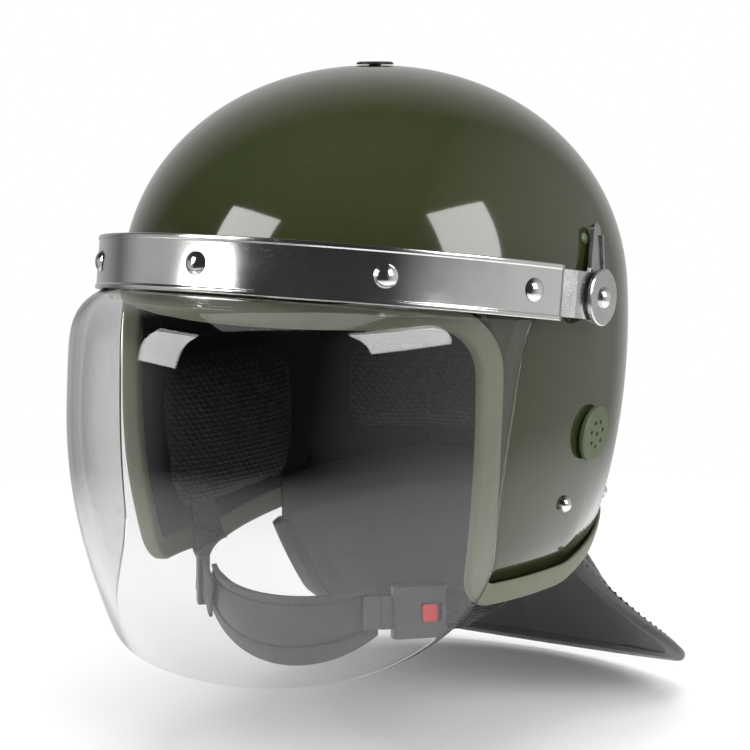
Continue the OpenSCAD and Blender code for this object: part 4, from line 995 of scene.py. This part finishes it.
# %% Cape padding
def ray_gap(s):
    """The distance in millimetres to the nearest seam that runs down."""
    return min(abs(s - seam) for seam in CAPE_SEAMS) * SHARE_ACROSS


def seam_gap(s, v):
    """The distance in millimetres to the nearest seam."""
    return min(ray_gap(s), abs(v - CROSS_SEAM) * SHARE_DOWN)


def quilt(s, v):
    """Swell of the padding, and the puckers that the thread draws beside each seam."""
    if v <= 0:
        return 0.0
    across, down = ray_gap(s), min(abs(v - CROSS_SEAM), v, 1.02 - v) * SHARE_DOWN
    swell = 2.8 * (1 - math.exp(-across / 11)) * (1 - math.exp(-down / 11))
    groove = -1.2 * math.exp(-(seam_gap(s, v) / 2.0) ** 2)
    pucker = PUCKER * sin(v * SHARE_DOWN * PUCKER_TURN) * math.exp(-across / 6)
    pucker += PUCKER * sin(s * SHARE_ACROSS * PUCKER_TURN) * math.exp(-down / 6)
    gather = noise.noise(Vector((s * 17, v * 1.8, 5.0))) * 2.6 * max(0, 1 - v / 0.5) * min(1, v * 12)
    crease = noise.noise(Vector((s * 3.4, v * 2.2, 0.4))) * 3.0
    crease += noise.noise(Vector((s * 8, v * 4, 2.0))) * 0.8
    return swell + groove + pucker * min(1, v * 8) + gather + crease * min(1, across / 14, down / 14)


print("swell between two seams", round(quilt(0.27, 0.7), 2), "mm")

# %% [markdown]
# The cloth is a grid with an outer and an inner face, 3 mm apart. The inner one lies flatter and
# wears the lining. Each point carries how near it is to a seam, which the finish uses to paint shade
# into the seam's groove.

# %% Cape mesh
BINDING = 8.0
NARROWER, SHORTER = 1 - BINDING / 140, 1 - BINDING / 130
cape_across = np.linspace(-1, 1, 201)
cape_rows = [-1, -0.5, -0.2, -0.05] + [v * SHORTER for v in np.linspace(0.01, 1, 96)]


def cape_share(t, v):
    """The share across the cape at share t of the width that the binding leaves."""
    return t * outline(v) * NARROWER


def cape_face(t, v, way):
    """The outer face, or with way -1 the inner one, which the padding moves much less."""
    s = cape_share(t, v)
    half = CAPE_THICK / 2 * (0.6 if v < 0 else 1)
    lift = quilt(s, v) if way > 0 else -0.2 * quilt(s, v)
    return cape_point(s, v) + cape_normal(s, v) * (way * half + lift)


cape = add_piece("quilted_neck_cape", sheet_mesh(cape_across, cape_rows, cape_face, (1, -1)), "helmet",
                 cape_skin, ["neck_cape"])
inner_side = (len(cape_rows) - 1) * (len(cape_across) - 1)
paint(cape, cape_back, cape.data.polygons[inner_side:2 * inner_side])
# Painted shade for the seam grooves: each point's nearness to a seam.
shade = [math.exp(-(seam_gap(cape_share(t, v), v) / 2.6) ** 2) for v in cape_rows for t in cape_across]
painted_seam_shade = cape.data.attributes.new("seam shade", "FLOAT", "POINT")
painted_seam_shade.data.foreach_set("value", shade * 2)

# %% [markdown]
# The binding is a folded strip of the same cloth, sewn round the sides and the lower edge. It is a
# thick rounded hem, so it is a round-cornered section swept along the cape's outline.

# %% Cape binding
side_stops = list(np.linspace(0.02, CORNER_FROM, 26))
side_stops += [CORNER_FROM + (1 - CORNER_FROM) * sin(90 * k / 18) for k in range(1, 19)]
edge = [(-outline(v), v) for v in side_stops]
edge += [((1 - CORNER_CUT) * t, 1) for t in np.linspace(-1, 1, 91)[1:-1]]
edge += [(outline(v), v) for v in reversed(side_stops)]


def edge_frame(s, v):
    """A point of the cape's outline, the direction into the cape, and the one out of its outer side."""
    outer, inner = cape_point(s, v), cape_point(s * NARROWER, v * SHORTER)
    return outer, unit(inner - outer), cape_normal(s, v)


edge_frames = [edge_frame(s, v) for s, v in edge]
hem_outline = rounded_outline([(0.2, -1.4, 1.2), (0.2, 1.4, 1.2), (6.0, 3.1, 2.0), (BINDING + 3.0, 2.0, 0.5),
                               (BINDING + 3.0, -2.0, 0.5), (6.0, -2.6, 1.5)])
hem_sections = []
for k, (outer, way, normal) in enumerate(edge_frames):
    ripple = 1 + 0.06 * noise.noise(Vector((k * 0.35, 0.0, 1.0)))
    hem_sections.append([outer + way * x + normal * y * ripple for x, y in hem_outline])
hem = add_piece("cape_hem", swept_mesh(hem_sections), "helmet", cape_edge, ["cape_binding"])
print("hem stops", len(edge))

# %% [markdown]
# ## Stitches
# Sewn seams read as stitches, not as lines. Each stitch is a short rounded thread that dips into the
# cloth at both ends. They are laid along a path on the surface, and all the stitches of one seam
# group are one mesh.

# %% Stitch helper
THREAD_STOPS, THREAD_SIDES = 6, 6


def at_distance(rows, steps, d):
    """The row at distance d along a path whose rows lie at the given steps."""
    return np.array([np.interp(d, steps, column) for column in rows.T])


def stitch_mesh(paths, length=3.8, pause=1.8, thick=1.3):
    """Threads along paths of (point, normal); one mesh for all of them."""
    points, faces = [], []
    for path in paths:
        spots, normals = (np.array(column) for column in zip(*path))
        steps = np.concatenate([[0], np.cumsum(np.linalg.norm(np.diff(spots, axis=0), axis=1))])
        at = pause
        while at + length < steps[-1]:
            stops = np.linspace(at, at + length, THREAD_STOPS)
            line = [at_distance(spots, steps, d) for d in stops]
            way = unit(line[-1] - line[0])
            first = len(points)
            for k, d in enumerate(stops):
                n = unit(at_distance(normals, steps, d))
                side = np.cross(way, n)
                arch = math.sin(math.pi * (k + 0.3) / 5.6)
                r = thick / 2 * (0.45 + 0.55 * arch)
                for q in range(THREAD_SIDES):
                    a = 360 / THREAD_SIDES * q
                    points.append(line[k] + n * (thick * (arch - 0.55) + r * cos(a)) + side * r * sin(a))
            faces += grid_faces(THREAD_STOPS, THREAD_SIDES, True, first)
            last = len(points) - THREAD_SIDES
            faces += [tuple(range(k, k + THREAD_SIDES)) for k in (first, last)]
            at += length + pause
    return points, faces


print("points in a stitch", THREAD_STOPS * THREAD_SIDES)

# %% [markdown]
# On the cape the threads follow the seams of the padding, and one more line holds the binding.

# %% Cape stitches
THREAD_LIFT = 0.7


def cape_seam(spots):
    """Places on the cape's outer side where a thread lies."""
    line = []
    for s, v in spots:
        n = cape_normal(s, v)
        line.append((cape_point(s, v) + n * (CAPE_THICK / 2 + quilt(s, v) + THREAD_LIFT), n))
    return line


seam_paths = [cape_seam([(s, v) for v in np.linspace(0.03, 0.93, 60)]) for s in CAPE_SEAMS[1:-1]]
seam_paths.append(cape_seam([(s, CROSS_SEAM) for s in np.linspace(-0.93, 0.93, 90)]))
hem_path = [(outer + way * 9.0 + normal * 2.75, normal) for outer, way, normal in edge_frames]
stitches = add_piece("cape_stitches", stitch_mesh(seam_paths), "helmet", thread_black)
hem_stitches = add_piece("hem_stitches", stitch_mesh([hem_path]), "helmet", thread_black)
print("stitches", len(stitches.data.vertices) // (THREAD_STOPS * THREAD_SIDES))

# %% [markdown]
# ## Chin cup and straps
# The chin cup is a curved piece of leather with two sewn lines and a soft pad inside. Cup and pad
# are sheets on one curved surface, so the pad fits the cup without being moulded to it.

# %% Chin cup surface
STRAP_Y, STRAP_Z, STRAP_WIDE, STRAP_THICK = -11.0, -100.0, 20.0, 2.0
CUP_HALF, CUP_BOW, CUP_FRONT, CUP_HEIGHT, CUP_WALL = 50.0, 21.0, 95.0, 36.0, 3.5
CUP_RADIUS = (CUP_HALF ** 2 + CUP_BOW ** 2) / (2 * CUP_BOW)
CUP_END_ANGLE = math.degrees(math.asin(CUP_HALF / CUP_RADIUS))
CUP_LEVEL = STRAP_Z - 60
CUP_SEAMS = (0.72, 0.12)
PAD_INSET, PAD_RISE = 0.06, 6


def cup_point(u, v, o):
    """The cup at share u across and v down, at offset o from its outer face."""
    a, side = CUP_END_ANGLE * (2 * u - 1), (2 * u - 1) ** 2
    height = CUP_HEIGHT + (STRAP_WIDE + 3 - CUP_HEIGHT) * side
    return np.array([(CUP_RADIUS + o) * sin(a),
                     CUP_RADIUS - CUP_FRONT - (CUP_RADIUS + o) * cos(a) + 9 * v * v * (1 - side),
                     CUP_LEVEL + 12 * side + height * (0.5 - v)])


def hollow(v, at, wide):
    """The depth, from 0 to 1, of a hollow across the cup."""
    return math.exp(-((v - at) * CUP_HEIGHT / wide) ** 2)


def cup_face(u, v, side):
    """The outer face with its two sewn lines and a soft swell between them, or the plain inner one."""
    if side == 0:
        return cup_point(u, v, -CUP_WALL)
    groove = 0.7 * hollow(v, CUP_SEAMS[0], 1.5) + 0.5 * hollow(v, CUP_SEAMS[1], 1.5)
    return cup_point(u, v, -0.8 - groove + 0.8 * hollow(v, 0.42, 11) * crowned(u, 0, 4))


def chin_pad_face(u, v, side):
    """The pad's flat face on the cup, or the one that swells towards the chin."""
    rise = PAD_RISE * side * crowned(u, 0.3, 6) * crowned(v, 0.3, 3)
    across, down = (PAD_INSET + (1 - 2 * PAD_INSET) * t for t in (u, v))
    return cup_point(across, down, -CUP_WALL - 0.5 - rise)


cup = add_piece("leather_chin_cup", sheet_mesh(shares(96), shares(40), cup_face, (1, 0)), "chin_strap",
                cup_leather, ["chin_cup"])
bevelled(cup, 1.0, 3, 50)
cup_pad = add_piece("chin_pad_cover", sheet_mesh(shares(96), shares(40), chin_pad_face), "chin_strap",
                    mesh_black, ["chin_pad"])


def cup_seam(v):
    """Places along one sewn line of the cup, with the direction out of it."""
    line, d = [], 0.01
    for u in np.linspace(0.03, 0.97, 60):
        down = cup_point(u, v + d, 0) - cup_point(u, v - d, 0)
        n = unit(np.cross(down, cup_point(u + d, v, 0) - cup_point(u - d, v, 0)))
        n = n if n[1] < 0 else -n
        line.append((cup_point(u, v, -0.9) + n * 0.15, n))
    return line


cup_thread = add_piece("chin_cup_stitches", stitch_mesh([cup_seam(v) for v in CUP_SEAMS], 2.4, 1.2, 0.6),
                       "chin_strap", thread_black)
print("cup faces", len(cup.data.polygons), "thread faces", len(cup_thread.data.polygons))

# %% [markdown]
# Both straps hang from the rivets inside the flaps. The left one ends in the buckle's housing, and
# the right one laps over the end of the cup. A smooth curve through the construction model's points
# gives their route, and a width direction at each point says how the webbing turns.

# %% Strap route
anchor_x = (HALF_WIDTH * math.sqrt(1 - ((STRAP_Z - 13) / SIDE_FALL) ** 2)) - WALL - 1.6 - 2
lap = 0.3 + STRAP_THICK / 2
cup_end = cup_point(1, 0.5, lap)
chin_way = np.array([-cos(CUP_END_ANGLE), -sin(CUP_END_ANGLE), 0])
buckle_at = cup_end - 19 * chin_way
housing_back = buckle_at - (13 + 0.3) * chin_way
strap_stops = [([anchor_x - lap, STRAP_Y - 1, STRAP_Z - 9], [0, 1, 0]),
               ([anchor_x - 5, STRAP_Y - 4, STRAP_Z - 22], [0, 1, 0.1]),
               ([anchor_x - 12, STRAP_Y - 9, STRAP_Z - 36], [0, 0.9, 0.4]),
               ([anchor_x - 21, STRAP_Y - 20, STRAP_Z - 43], [0, 0.6, 0.8]),
               (housing_back - 8 * chin_way, [0, 0.1, 1]),
               (housing_back, [0, 0, 1])]
end_stops = [(cup_end, [0, 0, 1]), (cup_point(1 - 11 / 100, 0.5, lap + 0.7), [0, 0, 1])]


def through(stops, steps):
    """A smooth curve through the stops, as Catmull and Rom drew it, with its width direction."""
    spots = [np.array(p, float) for p, _ in stops]
    ways = [np.array(w, float) for _, w in stops]
    line = []
    for i in range(len(spots) - 1):
        p0, p1, p2, p3 = spots[max(0, i - 1)], spots[i], spots[i + 1], spots[min(len(spots) - 1, i + 2)]
        for k in range(steps if i < len(spots) - 2 else steps + 1):
            t = k / steps
            p = 0.5 * (2 * p1 + (p2 - p0) * t + (2 * p0 - 5 * p1 + 4 * p2 - p3) * t * t
                       + (3 * p1 - p0 - 3 * p2 + p3) * t ** 3)
            line.append((p, ways[i] * (1 - t) + ways[i + 1] * t))
    return line


print("buckle at", [round(float(c), 1) for c in buckle_at])

# %% [markdown]
# Webbing is thin and flat, with woven edges that stand up a little on its outer face. The outline
# has those edges, and it is swept along the route.

# %% Straps
WEB_RISE, WEB_SIDE = 0.85, 0.2 - STRAP_WIDE / 2
web_outline = even_outline([(WEB_SIDE, -WEB_RISE, 0.6), (WEB_SIDE, WEB_RISE, 0.6),
                            (WEB_SIDE + 2, WEB_RISE, 0.3), (WEB_SIDE + 2.6, WEB_RISE - 0.2, 0.3)], 3)


def strap_mesh(stops, mirror):
    """Webbing swept through the stops, on the wearer's left or mirrored to the right."""
    line = through(stops, 14)
    sections = []
    for i, (p, width) in enumerate(line):
        t = unit(line[min(i + 1, len(line) - 1)][0] - line[max(i - 1, 0)][0])
        n = unit(np.cross(t, width))
        side = np.cross(n, t)
        section = [p + side * x + n * y for x, y in web_outline]
        sections.append([other_side(q) for q in section] if mirror else section)
    return swept_mesh(sections)


for side, stops in (("left", strap_stops), ("right", strap_stops + end_stops)):
    webbing = strap_mesh(stops, side == "right")
    strap = add_piece(side + "_webbing", webbing, "chin_strap", web_grey, [side + "_strap"])
    print(strap.name, "points", len(strap.data.vertices))

# %% [markdown]
# ## Hard parts that stay
# Pivots, rivets, levers, brackets, vents, plug and buckle keep their construction solids, because
# their shapes are right. Each gets its own finish, and a small bevel where a real edge is broken.

# %% Finishes on the construction solids
kept = {
    "crown_plug": (plug_black, 0.3), "nape_rivets": (nape_plate, 0), "side_rivets": (olive_matt, 0),
    "band_rivets": (rivet_plate, 0), "strap_rivets": (rivet_plate, 0), "visor_gasket": (gasket_black, 0),
    "strap_slide": (buckle_grey, 0.4), "buckle_housing": (buckle_grey, 0.5),
    "buckle_tongue": (buckle_grey, 0.3), "release_tab": (tab_red, 0.4)}
kept_pairs = {
    "ear_vent": (olive_matt, 0.25), "base_plate": (zinc_plate, 0.3), "lock_lever": (lever_steel, 0.35),
    "pivot_screw": (rivet_plate, 0.25), "pivot_nut": (zinc_plate, 0.3), "spring_washer": (zinc_plate, 0.2),
    "pivot_disc": (disc_steel, 0.3), "bracket": (disc_steel, 0.3), "strap_anchor": (zinc_plate, 0.3)}
for node, look in kept_pairs.items():
    kept["left_" + node] = kept["right_" + node] = look
for node, (material, edge_width) in kept.items():
    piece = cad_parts[node]
    piece.data.materials.clear()
    piece.data.materials.append(material)
    if edge_width:
        bevelled(piece, edge_width, 2, 35)
print("kept solids", len(kept))

# %% [markdown]
# ## Studio
# The helmet is shown on a plain pale floor that fades into white. The world is white for the camera
# and for what is seen straight through the visor. Gloss sees pale walls at the sides and behind
# instead, which shape its reflections, and so do rays mirrored inside the visor's sheet, because the
# full white would haze what lies behind it. The light from all round is plain and weaker.

# %% Floor
floor_z = cad_box[0][2] - 0.004
bpy.ops.mesh.primitive_plane_add(size=6, location=(0, 0, floor_z))
floor = bpy.context.object
floor.name = "studio_floor"
white, tree, ground = new_material("studio white")
ground.inputs["Base Color"].default_value = (0.86, 0.86, 0.86, 1)
ground.inputs["Roughness"].default_value = 0.7
ground.inputs["Specular IOR Level"].default_value = 0.2
away = add_node(tree, "ShaderNodeVectorMath", {0: place_on(tree)}, operation="LENGTH").outputs["Value"]
tree.links.new(spread(tree, away, 0.22, 0.85, 1.0, 0.0, "SMOOTHERSTEP"), ground.inputs["Alpha"])
floor.data.materials.append(white)
print("floor at", round(floor_z, 4))

# %% [markdown]
# The world asks each ray what it is. Camera rays and rays that went straight through the visor see
# white, gloss and mirrored rays see the walls, and all others see the weaker light from all round.

# %% World
CAMERA_TURN = 33.0
world = bpy.data.worlds.new("studio")
bpy.context.scene.world = world
world.use_nodes = True
tree = world.node_tree
tree.nodes.clear()
toward = add_node(tree, "ShaderNodeTexCoord").outputs["Generated"]


def turned_to(way):
    """How far a ray points in a direction, from -1 to 1."""
    dot = add_node(tree, "ShaderNodeVectorMath", {0: toward, 1: way}, operation="DOT_PRODUCT")
    return dot.outputs["Value"]


def white_sky(strength):
    """A white background."""
    return add_node(tree, "ShaderNodeBackground", {"Color": (1, 1, 1, 1), "Strength": strength}).outputs[0]


ray = add_node(tree, "ShaderNodeLightPath").outputs
mirrored = math_node(tree, "MULTIPLY", ray["Is Transmission Ray"],
                     math_node(tree, "GREATER_THAN", ray["Glossy Depth"], 0.5))
straight = math_node(tree, "SUBTRACT", ray["Is Transmission Ray"], mirrored)
seen = math_node(tree, "MAXIMUM", ray["Is Camera Ray"], straight)
gloss = math_node(tree, "MAXIMUM", ray["Is Glossy Ray"], mirrored)
behind = turned_to((-sin(CAMERA_TURN), cos(CAMERA_TURN), 0.15))
aside = turned_to((cos(CAMERA_TURN), sin(CAMERA_TURN), 0))
height = add_node(tree, "ShaderNodeSeparateXYZ", {0: toward}).outputs["Z"]
right_wall = spread(tree, aside, 0.35, 1.0, 0.03, 0.60)
left_wall = math_node(tree, "MULTIPLY", spread(tree, aside, -0.75, -0.95, 0.0, 0.45),
                      spread(tree, height, 0.1, 0.4, 1.0, 0.0))
back_wall = spread(tree, behind, 0.5, 0.95, 0.0, 0.5)
walls = math_node(tree, "MAXIMUM", math_node(tree, "MAXIMUM", right_wall, left_wall), back_wall)
lit = mix_shader(tree, gloss, white_sky(0.55), white_sky(walls))
tree.links.new(mix_shader(tree, seen, lit, white_sky(1.0)),
               add_node(tree, "ShaderNodeOutputWorld").inputs["Surface"])
print("world nodes", len(tree.nodes))

# %% [markdown]
# Upright soft boxes stand left and right of the camera, as in a product studio, and show in the
# gloss of shell and visor. A large one overhead and one behind only add light. The last lamp is a
# card set for one highlight: it reaches nothing but the leather of the cape and its hem.

# %% Soft boxes
def soft_box(name, turn, height, distance, size, power, mirrored=True):
    """A soft box at an angle round the helmet, aimed at its middle."""
    light = bpy.data.lights.new(name, "AREA")
    light.shape = "RECTANGLE"
    light.size, light.size_y = size
    light.energy = power
    lamp = bpy.data.objects.new(name, light)
    middle = Vector((0, 0, -0.03))
    place = Vector((sin(turn) * cos(height), -cos(turn) * cos(height), sin(height))) * distance
    lamp.location = place + middle
    lamp.rotation_euler = (middle - lamp.location).to_track_quat("-Z", "Y").to_euler()
    lamp.visible_glossy = mirrored
    bpy.context.scene.collection.objects.link(lamp)
    return lamp


soft_box("left_box", 82, 27, 1.6, (0.74, 0.92), 14)
soft_box("right_box", -29, 25, 1.6, (0.74, 0.92), 14)
soft_box("top_box", 33, 80, 1.8, (1.6, 1.6), 20, False)
soft_box("rear_box", 196, 24, 1.7, (0.7, 0.7), 9, False)
card = soft_box("cape_card", 172, 52, 1.6, (0.45, 0.8), 20)
reached = bpy.data.collections.new("cape_card_reaches")
for piece in (cape, hem):
    reached.objects.link(piece)
card.light_linking.receiver_collection = reached
print("lamps", len(bpy.data.lights))

# %% [markdown]
# The camera stands where the photograph's three-quarter view was taken from, a little above the
# helmet's middle, with a long lens. Its distance leaves a narrow margin round the helmet.

# %% Camera
DISTANCE, CAMERA_HEIGHT, AIM_HEIGHT = 1.0504 * 1.04, 0.0936, -0.047
data = bpy.data.cameras.new("camera")
camera = bpy.data.objects.new("camera", data)
bpy.context.scene.collection.objects.link(camera)
bpy.context.scene.camera = camera
camera.location = (sin(CAMERA_TURN) * DISTANCE, -cos(CAMERA_TURN) * DISTANCE, CAMERA_HEIGHT)
aim = Vector((0, 0, AIM_HEIGHT))
camera.rotation_euler = (aim - camera.location).to_track_quat("-Z", "Y").to_euler()
data.sensor_width = 36
data.lens = 104
data.clip_end = 50
print("camera at", [round(c, 3) for c in camera.location])

# %% [markdown]
# The Standard view keeps colours as they were set, so that white stays white.

# %% Colour management
scene = bpy.context.scene
scene.view_settings.view_transform = "Standard"
